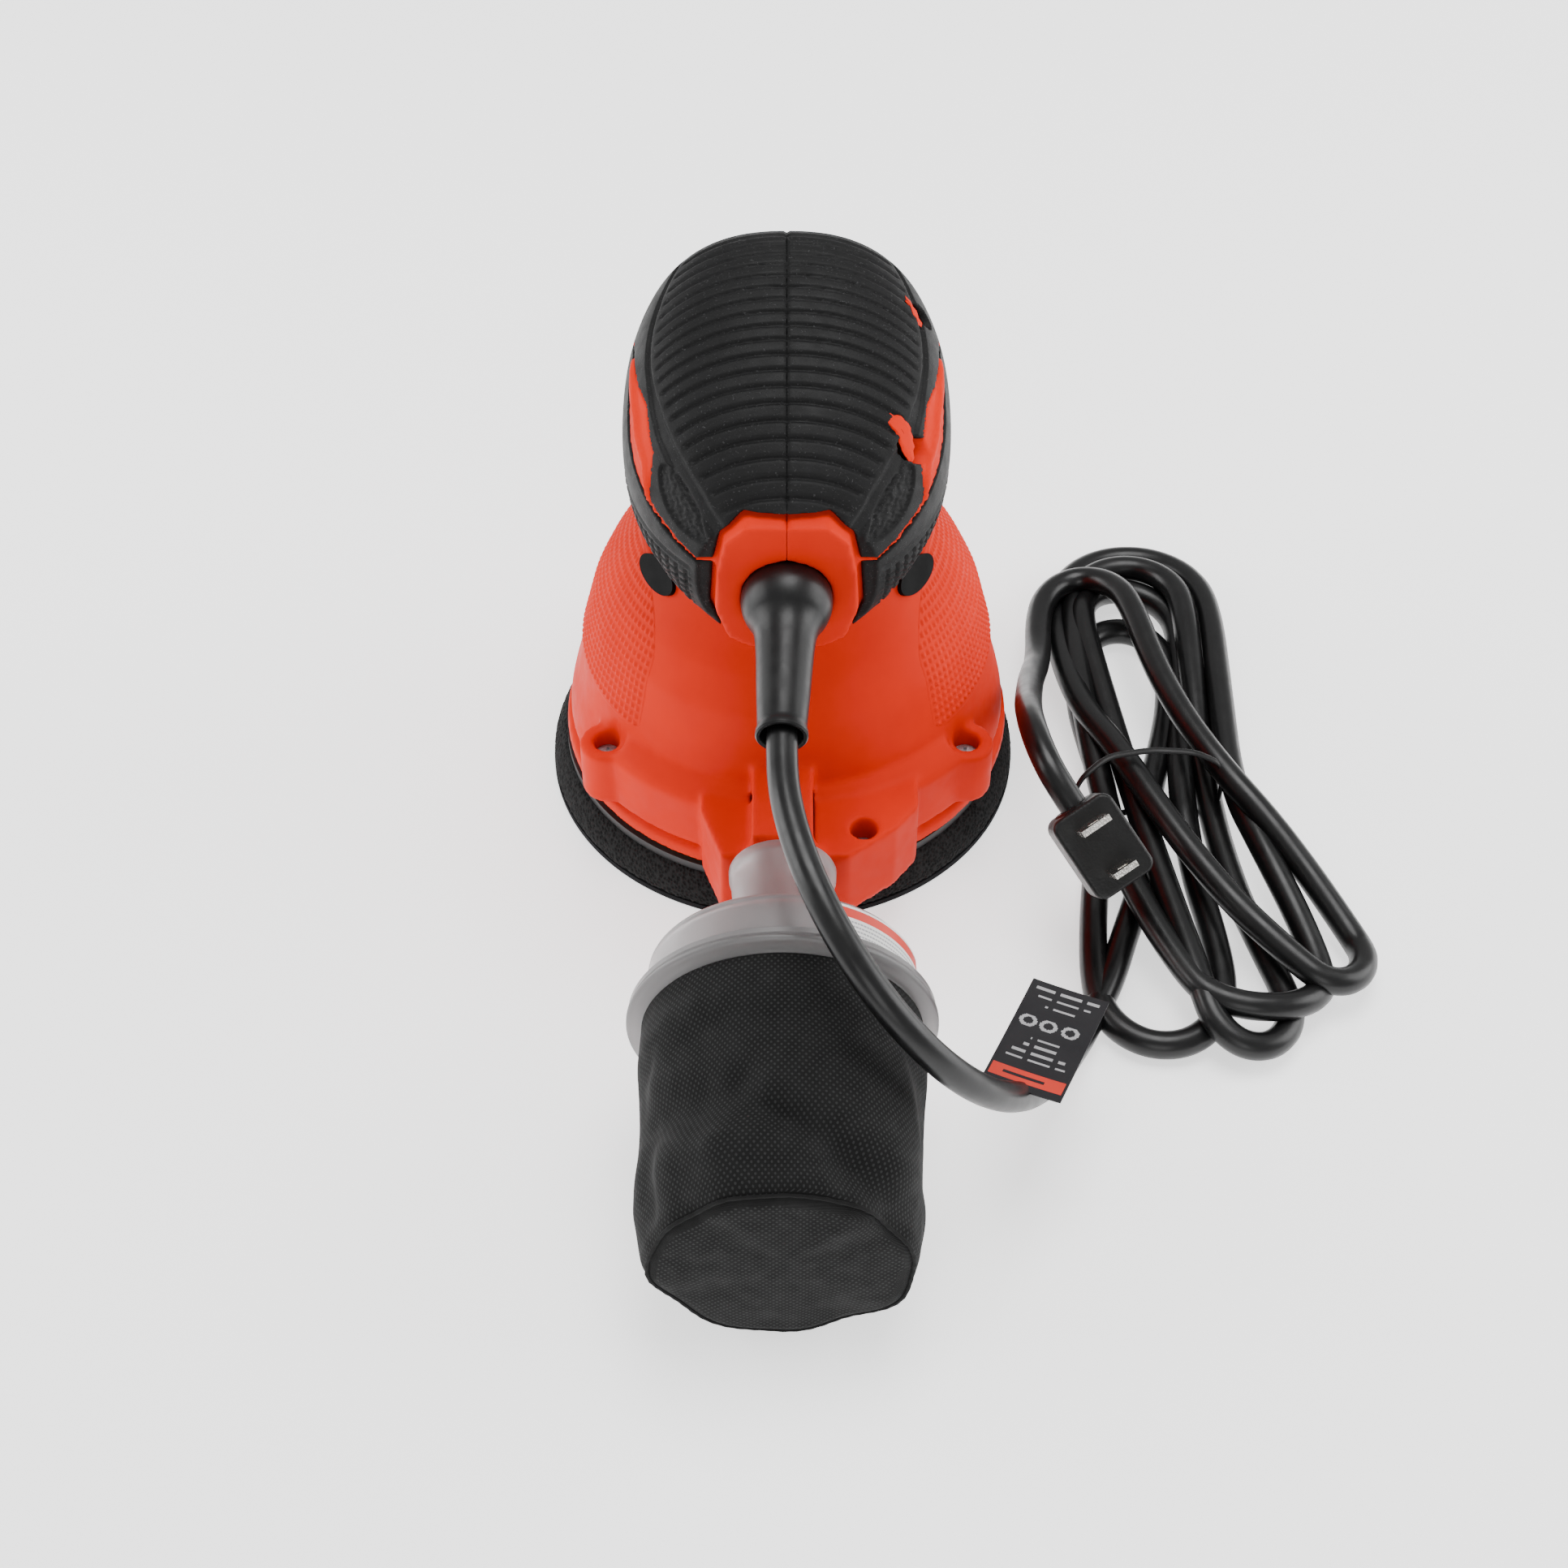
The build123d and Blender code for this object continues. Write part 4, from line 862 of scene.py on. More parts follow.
    def build(self, frame: dict) -> list:
        """Make the shells, the grips and the inlays.

        Args:
            frame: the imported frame.

        Returns:
            The new objects.
        """
        nodes = frame["nodes"]
        pieces = []
        for side in ("left", "right"):
            shell = remeshed([nodes[f"{side}_housing"]], self.shell_voxel, 3)
            self.sculpt(shell, self.window_relief, 95.0)
            piece = place_mesh(f"{side}_shell", shell, "orange_plastic", "root", 180)
            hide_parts(f"{side}_housing")
            pieces.append(piece)
            top = remeshed([nodes[f"{side}_top_grip"]], self.grip_voxel, 2)
            self.sculpt(top, self.top_relief, 100.0)
            piece = place_mesh(f"{side}_palm_grip", top, "black_rubber", "root", 180)
            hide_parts(f"{side}_top_grip")
            pieces.append(piece)
            low = remeshed([nodes[f"{side}_side_grip"]], self.grip_voxel, 2)
            self.sculpt(low, self.side_relief, 87.0)
            piece = place_mesh(f"{side}_lower_grip", low, "black_rubber", "root", 180)
            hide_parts(f"{side}_side_grip")
            pieces.append(piece)
        rear = ((22.2, -25.2), (24.8, -22.4), (28.4, -22.4), (29.6, -26.5), (29.4, -31.0), (26.6, -29.6),
                (25.4, -26.4))
        front = ((27.6, 15.0), (30.4, 12.0), (32.4, 7.6), (31.2, 6.4), (29.4, 10.0))
        pieces.append(self.inlay("grip_inlay_rear", (26.6, -25.6), rear, 0.12, "orange_plastic", "root"))
        pieces.append(self.inlay("grip_inlay_front", (30.3, 10.2), front, 0.12, "orange_plastic", "root"))
        return pieces


# ---- Shroud ----------------------------------------------------------------------------------
@dataclass(frozen=True)
class Shroud:
    """The orange dome with moulded edges, and its two knurled panels."""

    voxel: float = 0.85
    panel_low: float = 44.0
    panel_high: float = 83.4
    panel_reach: float = 46.0
    block_across: float = 1.9
    block_up: float = 2.2
    profile: tuple = ((57.9, 20.5), (57.4, 25), (56.3, 30), (55.0, 35), (54.0, 40), (53.3, 45), (52.0, 50),
                      (49.5, 60), (45.0, 70), (38.6, 80), (36.4, 84))

    def radius(self, z: np.ndarray) -> np.ndarray:
        """Outer radius of the dome at a height."""
        return np.interp(z, [point[1] for point in self.profile], [point[0] for point in self.profile])

    def panel(self, side: int) -> bpy.types.Object:
        """One leaf-shaped grip on the dome, a fine patch with raised lozenges.

        Its radius is the dome's plus the product of two clipped cosines, one round the dome and one up it,
        and its edge sinks below the dome's skin.

        Args:
            side: -1 for the left one, 1 for the right one.

        Returns:
            The new object.
        """
        heights = np.linspace(self.panel_low, self.panel_high, 190)
        shares = np.linspace(-1.0, 1.0, 260)
        reach = self.panel_reach * np.sqrt(np.clip(1 - (np.clip(heights - 64, 0, None) / 20.4) ** 2, 0, 1))
        reach = reach * smooth_step(40.5, 47.0, heights) ** 0.25
        turn = np.radians(shares[None, :] * reach[:, None])
        height = np.repeat(heights[:, None], len(shares), axis=1)
        smooth_profile = np.interp(heights, heights, self.radius(heights))
        for _ in range(60):
            inner = 0.5 * smooth_profile[1:-1] + 0.25 * (smooth_profile[2:] + smooth_profile[:-2])
            smooth_profile = np.concatenate([smooth_profile[:1], inner, smooth_profile[-1:]])
        radius = np.repeat(smooth_profile[:, None], len(shares), axis=1)
        around = turn * 50.0
        across = np.cos(2 * np.pi * around / self.block_across)
        upright = np.cos(2 * np.pi * height / self.block_up)
        blocks = smooth_step(-0.6, 0.5, across) * smooth_step(-0.6, 0.5, upright)
        rim = np.minimum(1 - np.abs(shares)[None, :] ** 1.0, 1.0) * reach[:, None] * 0.9
        rim = np.minimum(rim, np.minimum(height - heights[0], heights[-1] - height))
        lift = 0.06 + blocks * 0.42 * smooth_step(0.3, 1.6, rim) - 0.5 * (1 - smooth_step(0.0, 0.5, rim))
        radius = radius + lift
        points = np.stack([side * radius * np.cos(turn), -radius * np.sin(turn), height], axis=-1)
        faces = grid_faces(len(heights), len(shares), False)
        if side > 0:
            faces = [face[::-1] for face in faces]
        word = "right" if side > 0 else "left"
        return make_object(f"{word}_dome_grip", points, faces, "orange_plastic", "root", 180)

    def build(self, frame: dict) -> list:
        """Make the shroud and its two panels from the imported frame, and return them."""
        mesh = remeshed([frame["nodes"]["shroud"]], self.voxel, 5)
        piece = place_mesh("dome_shroud", mesh, "orange_plastic", "root", 180)
        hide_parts("shroud")
        return [piece, self.panel(-1), self.panel(1)]


# ---- Mains lead ------------------------------------------------------------------------------
@dataclass(frozen=True)
class CordBoot:
    """The ball-ended cord boot, turned, with its open lip."""

    ball: float = 10.8
    cord_exit: float = 31.4
    axis: Axis3 = Axis3((0.0, -52.0, 102.0), (0.9995, -0.0303, 0.0), (-0.03, -0.9898, -0.139))

    def build(self) -> bpy.types.Object:
        """Turn the boot from its ball, its taper and its lip, and return it."""
        ball = [(self.ball * math.sin(math.radians(turn)), -self.ball * math.cos(math.radians(turn)))
                for turn in np.linspace(40, 128, 24)]
        outside = [(7.7, 8.6), (7.25, 10.4), (6.95, 13.0), (6.6, 18.0), (6.3, 25.0), (5.95, 31.0),
                   (5.7, 36.0)]
        lip = [(5.75, 37.2), (6.0, 37.7), (6.05, 38.9), (5.7, 39.3), (5.1, 39.3), (4.8, 38.9), (4.75, 31.5)]
        close = [(0.02, 31.5), (0.02, ball[0][1])]
        profile = ball + outside + lip + close
        piece = lathe("cord_boot", self.axis, profile, "boot_rubber", "root", 96)
        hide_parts("strain_relief_boot")
        return piece


@dataclass(frozen=True)
class Plug:
    """The plug's moulded body with its ringed strain relief."""

    voxel: float = 0.45
    ring_pitch: float = 2.6
    ring_depth: float = 0.75
    axis: Axis3 = Axis3((78.0, -71.0, 38.0), (0.557, -0.603, -0.570), (0.0, -0.6869, 0.7267))

    def build(self, frame: dict) -> bpy.types.Object:
        """Make the body: the rings sink as half of one minus the cosine along the stub.

        Args:
            frame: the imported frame.

        Returns:
            The new object.
        """
        mesh = remeshed([frame["nodes"]["plug_body"]], self.voxel, 3)
        points = read_points(mesh)
        local = self.axis.local(points)
        stub = smooth_step(11.9, 12.6, -local[:, 0])
        ring = 0.5 - 0.5 * np.cos(2 * np.pi * (local[:, 0] + 12) / self.ring_pitch)
        middle = self.axis.place(np.column_stack([local[:, 0], 0 * local[:, 0], 0 * local[:, 0] - 8]))
        inward = (middle - points) / (np.linalg.norm(middle - points, axis=1, keepdims=True) + 1e-6)
        write_points(mesh, points + inward * (self.ring_depth * stub * ring)[:, None])
        piece = place_mesh("plug_moulding", mesh, "plug_pvc", "root", 180)
        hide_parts("plug_body")
        return piece


@dataclass(frozen=True)
class LeadTag:
    """The folded card on the lead, with plain printed bars instead of words."""

    half_width: float = 9.5
    low_end: float = -3.0
    high_end: float = 35.0
    thickness: float = 0.4
    axis: Axis3 = Axis3((54.3, -141.3, 35.0), (0.92, -0.39, 0.0), (0.078, 0.184, 0.976))
    bars: tuple = ((32.2, 32.9, 7.9), (29.4, 30.1, 6.4), (26.4, 27.1, 3.8), (14.8, 15.5, 3.6),
                   (12.2, 12.9, 4.6),
                   (9.6, 10.3, 6.6), (7.0, 7.7, 7.2))
    spots: tuple = (-6.0, -1.0, 4.4)

    def marks(self, middles: np.ndarray) -> np.ndarray:
        """Which material each printed face has.

        Args:
            middles: the faces' (x, y) middles on the card, millimetres.

        Returns:
            0 for card, 1 for white print and 2 for the red band, by face.
        """
        x_mid, y_mid = middles[:, 0], middles[:, 1]
        marks = np.zeros(len(middles), dtype=np.int32)
        marks[(y_mid > -0.6) & (y_mid < 3.4) & (np.abs(x_mid) < 8.7)] = 2
        marks[(y_mid > 0.8) & (y_mid < 2.0) & (np.abs(x_mid + 1.0) < 5.0)] = 0
        word = (np.floor((x_mid + 20) / 1.3).astype(int) * 7) % 5 != 1
        for low, high, half in self.bars:
            marks[(y_mid > low) & (y_mid < high) & (np.abs(x_mid) < half) & word] = 1
        for spot in self.spots:
            away = np.hypot(x_mid - spot, y_mid - 20.6)
            marks[(away > 1.2) & (away < 2.1)] = 1
        return marks

    def build(self) -> bpy.types.Object:
        """Make the card, a slightly curled grid with a second face below it and walls round the rim.

        Returns:
            The new object.
        """
        rows, columns = 117, 58
        across = np.linspace(-self.half_width, self.half_width, columns)
        along = np.linspace(self.low_end, self.high_end, rows)
        grid_x, grid_y = np.meshgrid(across, along)
        bend = 0.0035 * (grid_y - 2) ** 2 - 0.02 * (grid_y - 2) + 0.9 * (grid_x / self.half_width) ** 2
        top = np.stack([grid_x, grid_y, 0.55 + 0.25 * bend], axis=-1).reshape(-1, 3)
        under = top - np.array([0, 0, self.thickness])
        faces = grid_faces(rows, columns, False)
        count = rows * columns
        below = [[corner + count for corner in face[::-1]] for face in faces]
        rim = ([index for index in range(columns)]
               + [row * columns + columns - 1 for row in range(1, rows)]
               + [count - 2 - index for index in range(columns - 1)]
               + [row * columns for row in range(rows - 2, 0, -1)])
        walls = [[corner, corner + count, other + count, other]
                 for corner, other in zip(rim, rim[1:] + rim[:1])]
        points = self.axis.place(np.vstack([top, under]))
        finishes = ("tag_card", "print_white", "print_red")
        piece = make_object("lead_tag", points, faces + below + walls, finishes, "root")
        corners = top[np.array(faces)]
        marks = self.marks(corners.mean(axis=1)[:, :2])
        values = np.zeros(len(piece.data.polygons), dtype=np.int32)
        values[:len(marks)] = marks
        piece.data.polygons.foreach_set("material_index", values)
        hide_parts("cord_tag")
        return piece


@dataclass(frozen=True)
class MainsLead:
    """The lead from the boot through its tied hank to the plug, with all that it carries."""

    radius: float = 3.6
    floor: float = 3.8
    boot: CordBoot = CordBoot()
    plug: Plug = Plug()
    tag: LeadTag = LeadTag()
    route: tuple = (
        (-1.3, -96.0, 95.8),
        (-0.2, -110.5, 94.8),
        (4.2, -127.0, 92.2),
        (11.5, -141.5, 86.2),
        (21.2, -152.0, 76.5),
        (32.0, -156.5, 64.0),
        (42.2, -154.3, 50.2),
        (50.6, -147.0, 37.0),
        (57.4, -136.5, 25.0),
        (63.6, -124.0, 14.6),
        (70.0, -110.2, 6.7),
        (76.0, -97.0, 3.8),
    )
    tail: tuple = (
        (72.4, -59.5, 37.9),
        (67.3, -53.8, 43.0),
        (63.8, -45.5, 45.5),
        (62.2, -35.5, 44.5),
        (62.3, -24.5, 39.5),
        (63.8, -11.0, 30.5),
        (66.0, 4.0, 22.5),
        (69.5, 18.5, 15.0),
    )

    @staticmethod
    def lobe(centre: tuple, across: float, along: float, start: float, end: float, heights: tuple,
             count: int = 6) -> list:
        """Points round one end of a hank turn, an ellipse whose height passes through a few values.

        Args:
            centre: (x, y) of the lobe.
            across: its radius in x.
            along: its radius in y.
            start: the first point's angle in degrees.
            end: the last point's angle in degrees.
            heights: the heights that it passes, first to last.
            count: how many points it has.

        Returns:
            The points in millimetres.
        """
        turns = np.radians(np.linspace(start, end, count))
        levels = np.interp(np.linspace(0, 1, count), np.linspace(0, 1, len(heights)), heights)
        return [(centre[0] + across * math.cos(turn), centre[1] + along * math.sin(turn), float(level))
                for turn, level in zip(turns, levels)]

    def hank_points(self) -> list:
        """The turns of the hank from the lead's foot to the tail that climbs to the plug."""
        floor = self.floor
        return (
            [(81.5, -86, floor), (86, -72, floor), (92, -55, floor), (96, -38, floor), (97, -22, floor),
             (102, -5, floor), (106, 12, floor)]
            + self.lobe((94.5, 28), 12.5, 15, 0, 180, (floor,))
            + [(81, 12, floor), (83, -4, floor), (86, -22, floor), (82.5, -40, floor), (79, -62, floor)]
            + self.lobe((93.5, -88), 16.5, 19, 180, 360, (floor,))
            + [(109, -70, floor), (106, -50, 4.5), (105, -25, 8), (108, 4, 5)]
            + self.lobe((97.5, 40), 14.5, 18, 0, 180, (floor, 5, 11))
            + [(87, 8, 11), (91, -22, 11), (94, -42, 11), (98, -66, 11)]
            + self.lobe((114.5, -94), 11.5, 15, 180, 360, (11, 6, floor))
            + [(121, -75, floor), (116, -55, floor), (112.5, -25, 4.5), (112, 12, 10)]
            + self.lobe((97, 46), 16, 19, 0, 180, (11, 8, 8))
            + [(80.5, 20, 12), (82, -8, 11.5), (84, -30, 11), (86, -48, 11), (91, -68, 11)]
            + self.lobe((117, -86), 18, 14, 190, 360, (11, 11, 5))
            + [(131, -68, 7), (124, -48, 11), (118, -25, 11), (119, 10, 11)]
            + self.lobe((98.5, 47), 22, 26.5, 0, 180, (9, 4, 6))
            + [(76.5, 26, 10), (80, 2, 14), (88, -18, 18), (96, -38, 18), (105, -56, 16.5), (115, -72, 14.5)]
            + self.lobe((136, -79), 10, 12, 225, 390, (11.5, 8, 4.5))
            + [(136, -57, 9), (126, -41, 14), (115, -26, 18), (107, -8, 18.4), (101, 12, 18.4)]
            + self.lobe((83.6, 34), 13.2, 21, 15, 166, (18, 12, 12.5))
        )

    def cord(self) -> tuple[bpy.types.Object, tuple]:
        """The lead as one spline from inside the boot to the plug, and its first point in millimetres."""
        start = tuple(self.boot.axis.place([0, 0, self.boot.cord_exit]))
        route = [start, *self.route, *self.hank_points(), *reversed(self.tail)]
        curve = bpy.data.curves.new("mains_cord", "CURVE")
        curve.dimensions = "3D"
        spline = curve.splines.new("NURBS")
        spline.points.add(len(route) - 1)
        for point, place in zip(spline.points, route):
            point.co = (place[0] * MM, place[1] * MM, place[2] * MM, 1.0)
        spline.order_u = 3
        spline.use_endpoint_u = True
        spline.resolution_u = 10
        curve.bevel_depth = self.radius * MM
        curve.bevel_resolution = 6
        curve.use_fill_caps = True
        curve.materials.append(PALETTE.get("cord_pvc"))
        piece = bpy.data.objects.new("mains_cord", curve)
        bpy.context.scene.collection.objects.link(piece)
        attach(piece, "root")
        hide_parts("cord_lead", "cord_tail", "cord_hank")
        return piece, start

    @staticmethod
    def tie() -> bpy.types.Object:
        """The thin wire that holds the hank together at its waist, an oval carried along a smoothed loop."""
        high = ((74, -34, 20), (84, -27, 24.3), (96, -24, 23.6), (107, -25, 23.8), (116, -27, 20.5))
        turns = np.linspace(0, 2 * math.pi, 40, endpoint=False)
        low = np.linspace(0, 1, 60)
        knots = np.linspace(0, 1, 5)
        over = np.array([np.interp(low, knots, [point[axis] for point in high]) for axis in range(3)]).T
        back = over[::-1].copy()
        back[:, 2] = 0.9
        line = np.vstack([over, back])
        for _ in range(14):
            line = 0.5 * line + 0.25 * (np.roll(line, 1, axis=0) + np.roll(line, -1, axis=0))
        rows = []
        for index, point in enumerate(line):
            ahead = line[(index + 1) % len(line)] - line[index - 1]
            ahead = ahead / np.linalg.norm(ahead)
            across = np.cross(ahead, (0.0, 1.0, 0.0))
            across = across / np.linalg.norm(across)
            beside = np.cross(ahead, across)
            rows.append(point + 0.55 * np.cos(turns)[:, None] * across
                        + np.sin(turns)[:, None] * beside)
        rows.append(rows[0])
        points = np.concatenate(rows)
        faces = grid_faces(len(rows), len(turns), True)
        piece = make_object("hank_wire_tie", points, faces, "tie_plastic", "root")
        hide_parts("hank_tie")
        return piece

    def build(self, frame: dict) -> list:
        """Args:
            frame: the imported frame.

        Returns:
            The new objects.
        """
        cord, start = self.cord()
        tie = self.tie()
        boot = self.boot.build()
        plug = self.plug.build(frame)
        tag = self.tag.build()
        return [cord, tie, boot, plug, tag]


# ---- Dust cup and bag ------------------------------------------------------------------------
DUST_TILT = math.radians(4.5)
DUST = Axis3((-1.0, -76.0, 36.0), (1, 0, 0), (0, -math.cos(DUST_TILT), -math.sin(DUST_TILT)))
CUP = Axis3(tuple(DUST.place([0, 10.0, 0])), (1, 0, 0), DUST.z_dir)


@dataclass(frozen=True)
class DustCup:
    """The frosted cup on its neck, its paper label and the ring that carries the bag."""

    radius: float = 31.35
    label_radius: float = 31.5
    back: float = 52.4

    def cup(self) -> tuple[bpy.types.Object, bpy.types.Object]:
        """A rounded drum with a broad flange, and the neck that it stands on."""
        drum = (
            [(12.3, 37.0), (20.0, 36.9), (27.6, 37.2)]
            + arc((28.2, 40.2), 3.1, -88, -4, 7)
            + [(self.radius, 44.0), (self.radius, 49.4), (32.0, 50.2), (34.9, 50.3), (35.5, 50.8),
               (35.5, 52.0), (35.0, self.back),
               (29.5, self.back), (29.4, 42.4)]
            + arc((27.6, 40.6), 1.8, 0, -88, 6)
            + [(20.0, 38.8), (12.3, 38.9)]
        )
        cup = lathe("cup_drum", CUP, drum, "frosted_plastic", "cup", 144)
        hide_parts("dust_cup")
        neck = (
            [(12.9, 1.4), (13.2, 2.0), (13.1, 4.4), (12.5, 6.5), (12.1, 12.0), (12.3, 22.0), (13.4, 30.0),
             (15.8, 35.0), (18.6, 37.4), (17.6, 38.4), (13.8, 36.0), (11.6, 30.6), (10.3, 22.0), (10.2, 1.4)]
        )
        pipe = lathe("cup_neck", DUST, neck, "frosted_plastic", "cup", 96)
        return cup, pipe

    def label(self) -> bpy.types.Object:
        """The paper label on the cup, with a plain heading band and plain printed lines.

        Returns:
            The new object, a patch of the drum's cylinder whose faces are printed by row and column.
        """
        rows, columns = 63, 180
        turns = np.radians(np.linspace(72, 12, columns))
        along = np.linspace(39.4, 49.2, rows)
        turn, height = np.meshgrid(turns, along)
        radius = self.label_radius
        skin = np.stack([radius * np.cos(turn), radius * np.sin(turn), height], axis=-1)
        points = CUP.place(skin.reshape(-1, 3))
        piece = make_object("cup_paper_label", points, grid_faces(rows, columns, False),
                            ("label_paper", "print_red", "print_grey"), "cup", 180)
        row = np.repeat(np.arange(rows - 1), columns - 1)
        column = np.tile(np.arange(columns - 1), rows - 1)
        marks = np.zeros(len(row), dtype=np.int32)
        band = (row > 3) & (row < 20)
        marks[band] = 1
        line = (row > 24) & ((row - 25) % 7 < 3)
        words = ((column * 5 + (row - 25) // 7 * 13) % 23) > 4
        marks[line & words & (column > 4) & (column < columns - 8)] = 2
        piece.data.polygons.foreach_set("material_index", marks)
        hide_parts("cup_label")
        return piece

    @staticmethod
    def rim() -> bpy.types.Object:
        """The frosted ring that carries the bag, clipped to the cup."""
        low, high = 52.7, 55.3
        profile = ([(28.0, 46.4), (29.1, 46.4), (29.1, low), (31.6, low), (35.3, low)]
                   + arc((35.2, 53.4), 0.75, -80, 80, 6)
                   + [(34.6, 54.3), (33.2, 54.5), (32.2, high), (30.6, high), (30.6, 61.0), (28.0, 61.0)])
        piece = lathe("bag_ring", CUP, profile, "frosted_plastic", "filter", 144)
        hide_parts("filter_frame")
        return piece

    def build(self) -> list:
        """Make the cup, its neck, its label and the bag's ring, and return them."""
        return [*self.cup(), self.label(), self.rim()]


@dataclass(frozen=True)
class DustBag:
    """The sewn cloth bag. Each ring is (y, middle height, half width, half height)."""

    columns: int = 112
    rows: int = 46
    end_rows: int = 16
    mouth_y: float = -132.0
    held_y: float = -133.4
    rings: tuple = ((-133.4, 41.2, 32.4, 32.4), (-146, 39.4, 33.2, 33.0), (-160, 37.0, 33.6, 33.6),
                 (-175, 34.2, 33.2, 32.2), (-186, 31.6, 30.4, 29.4), (-189, 30.8, 27.0, 26.0))

    def cage(self) -> tuple[np.ndarray, int]:
        """The bag's rest shape as a grid from its mouth to the middle of its end disc.

        Returns:
            The points, each row an ellipse between the bag's rings, and how many rows there are.
        """
        along = np.concatenate([np.linspace(self.mouth_y, -184.5, self.rows), np.linspace(-185.6, -189.0, 4)])
        table = np.array(self.rings)[::-1]
        centre = np.interp(along, table[:, 0], table[:, 1])
        wide = np.interp(along, table[:, 0], table[:, 2])
        tall = np.interp(along, table[:, 0], table[:, 3])
        turns = 2 * math.pi * np.arange(self.columns) / self.columns
        rings = [np.stack([-1.0 + wide[index] * np.cos(turns), np.full(self.columns, along[index]),
                           centre[index] + tall[index] * np.sin(turns)], axis=-1)
                 for index in range(len(along))]
        for share in np.linspace(1, 0.02, self.end_rows + 1)[1:]:
            rings.append(np.stack([-1.0 + wide[-1] * share * np.cos(turns),
                                   np.full(self.columns, -189.0 - 1.0 * (1 - share ** 2)),
                                   centre[-1] + tall[-1] * share * np.sin(turns)], axis=-1))
        return np.concatenate(rings), len(rings)

    @staticmethod
    def crease(points: np.ndarray, start: tuple, end: tuple, width: float, depth: float) -> np.ndarray:
        """How far a fold between two points of the bag's skin pushes each point in.

        Args:
            points: positions in millimetres.
            start: one end of the fold.
            end: its other end.
            width: its half width.
            depth: its depth, outwards where it is negative.

        Returns:
            The depth times a bell of the distance from the fold's line.
        """
        first, last = np.array(start, float), np.array(end, float)
        run = last - first
        share = np.clip(((points - first) @ run) / float(run @ run), 0, 1)
        away = np.linalg.norm(points - first - share[:, None] * run, axis=1)
        taper = 0.35 + 0.65 * np.sin(np.pi * np.clip(share * 0.9 + 0.05, 0, 1))
        return depth * taper * np.exp(-(away / width) ** 2)

    def simulate(self, piece: bpy.types.Object) -> None:
        """Let the bag's cloth settle round its held mouth, and apply the result."""
        before = read_points(piece.data)
        held = piece.vertex_groups.new(name="held")
        held.add(list(range(2 * self.columns)), 1.0, "REPLACE")
        cloth = piece.modifiers.new("Cloth", "CLOTH")
        cloth.settings.quality = 6
        cloth.settings.mass = 0.12
        cloth.settings.tension_stiffness = 18
        cloth.settings.compression_stiffness = 18
        cloth.settings.shear_stiffness = 8
        cloth.settings.bending_stiffness = 0.6
        cloth.settings.use_pressure = True
        cloth.settings.uniform_pressure_force = 0.35
        cloth.settings.shrink_min = -0.035
        cloth.settings.vertex_group_mass = "held"
        cloth.settings.effector_weights.gravity = 0.25
        cloth.collision_settings.use_self_collision = False
        scene = bpy.context.scene
        for number in range(1, 19):
            scene.frame_set(number)
        mesh = baked(piece)
        piece.modifiers.clear()
        after = read_points(mesh)
        shift = after - before
        size = np.linalg.norm(shift, axis=1, keepdims=True)
        shift = shift * np.minimum(1.0, 2.6 / np.maximum(size, 1e-6))
        points = before + shift * smooth_step(9, 20, self.mouth_y - before[:, 1])[:, None]
        points[:, 2] = np.maximum(points[:, 2], 1.2)
        scene.frame_set(1)
        write_points(piece.data, points)

    @staticmethod
    def seam(ring: np.ndarray) -> bpy.types.Object:
        """The sewn ridge round the bag's end disc, a small circle carried round the ring with even swells."""
        count = len(ring)
        middle = ring.mean(axis=0)
        turns = np.linspace(0, 2 * math.pi, 10, endpoint=False)
        rows = []
        for index in range(count * 3):
            share = (index % 3) / 3
            low, high = ring[index // 3], ring[(index // 3 + 1) % count]
            point = low + (high - low) * share
            outward = (point - middle) / np.linalg.norm(point - middle)
            rear = np.array([0.0, -1.0, 0.0])
            swell = 0.5 + 0.05 * math.cos(2 * math.pi * index / 6)
            rows.append(point + outward * 0.25 + swell * np.cos(turns)[:, None] * outward
                        + 0.8 * swell * np.sin(turns)[:, None] * rear)
        rows.append(rows[0])
        points = np.concatenate(rows)
        faces = grid_faces(len(rows), len(turns), True)
        return make_object("bag_end_seam", points, faces, "bag_thread", "filter")

    def build(self) -> list:
        """Make the bag: simulated from its sewn shape, then folded, seamed and given its felt.

        Returns:
            The bag and its seam.
        """
        columns, rows = self.columns, self.rows
        points, count = self.cage()
        faces = grid_faces(count, columns, True)
        faces.append([(count - 1) * columns + index for index in range(columns)])
        around = np.tile(np.arange(columns) * (2 * math.pi * 33 / columns), count)
        length = np.repeat(np.arange(count) * 1.15, columns)
        piece = make_object("dust_bag", points, faces, "bag_fabric", "filter", 180)
        self.simulate(piece)
        points = read_points(piece.data)
        wobble = np.zeros(len(points))
        for start, end, width, depth in (
            ((-8, -158, 70), (-13, -167, 68), 4.0, 3.4),
            ((-13, -167, 68), (-34, -160, 46), 6.5, 4.4),
            ((-13, -167, 68), (6, -174, 65), 3.2, 3.6),
            ((6, -174, 65), (27, -186, 45), 5.0, 4.0),
            ((-26, -142, 62), (-14, -160, 69), 8.0, 1.8),
            ((10, -146, 71), (22, -166, 60), 9.0, -0.9),
            ((-33, -164, 46), (-31, -184, 40), 5.0, 2.2),
            ((33, -150, 46), (32, -176, 30), 9.0, 1.6),
            ((-22, -176, 60), (-8, -178, 64), 4.0, -1.2),
            ((-12, -187, 8), (18, -187, 6), 8.0, 1.4),
        ):
            wobble += self.crease(points, start, end, width, depth)
        middle = np.column_stack([np.full(len(points), -1.0), points[:, 1] * 0.82 - 26,
                                  np.full(len(points), 37.0)])
        inward = middle - points
        inward = inward / np.linalg.norm(inward, axis=1, keepdims=True)
        fade = smooth_step(8, 16, self.held_y - points[:, 1])
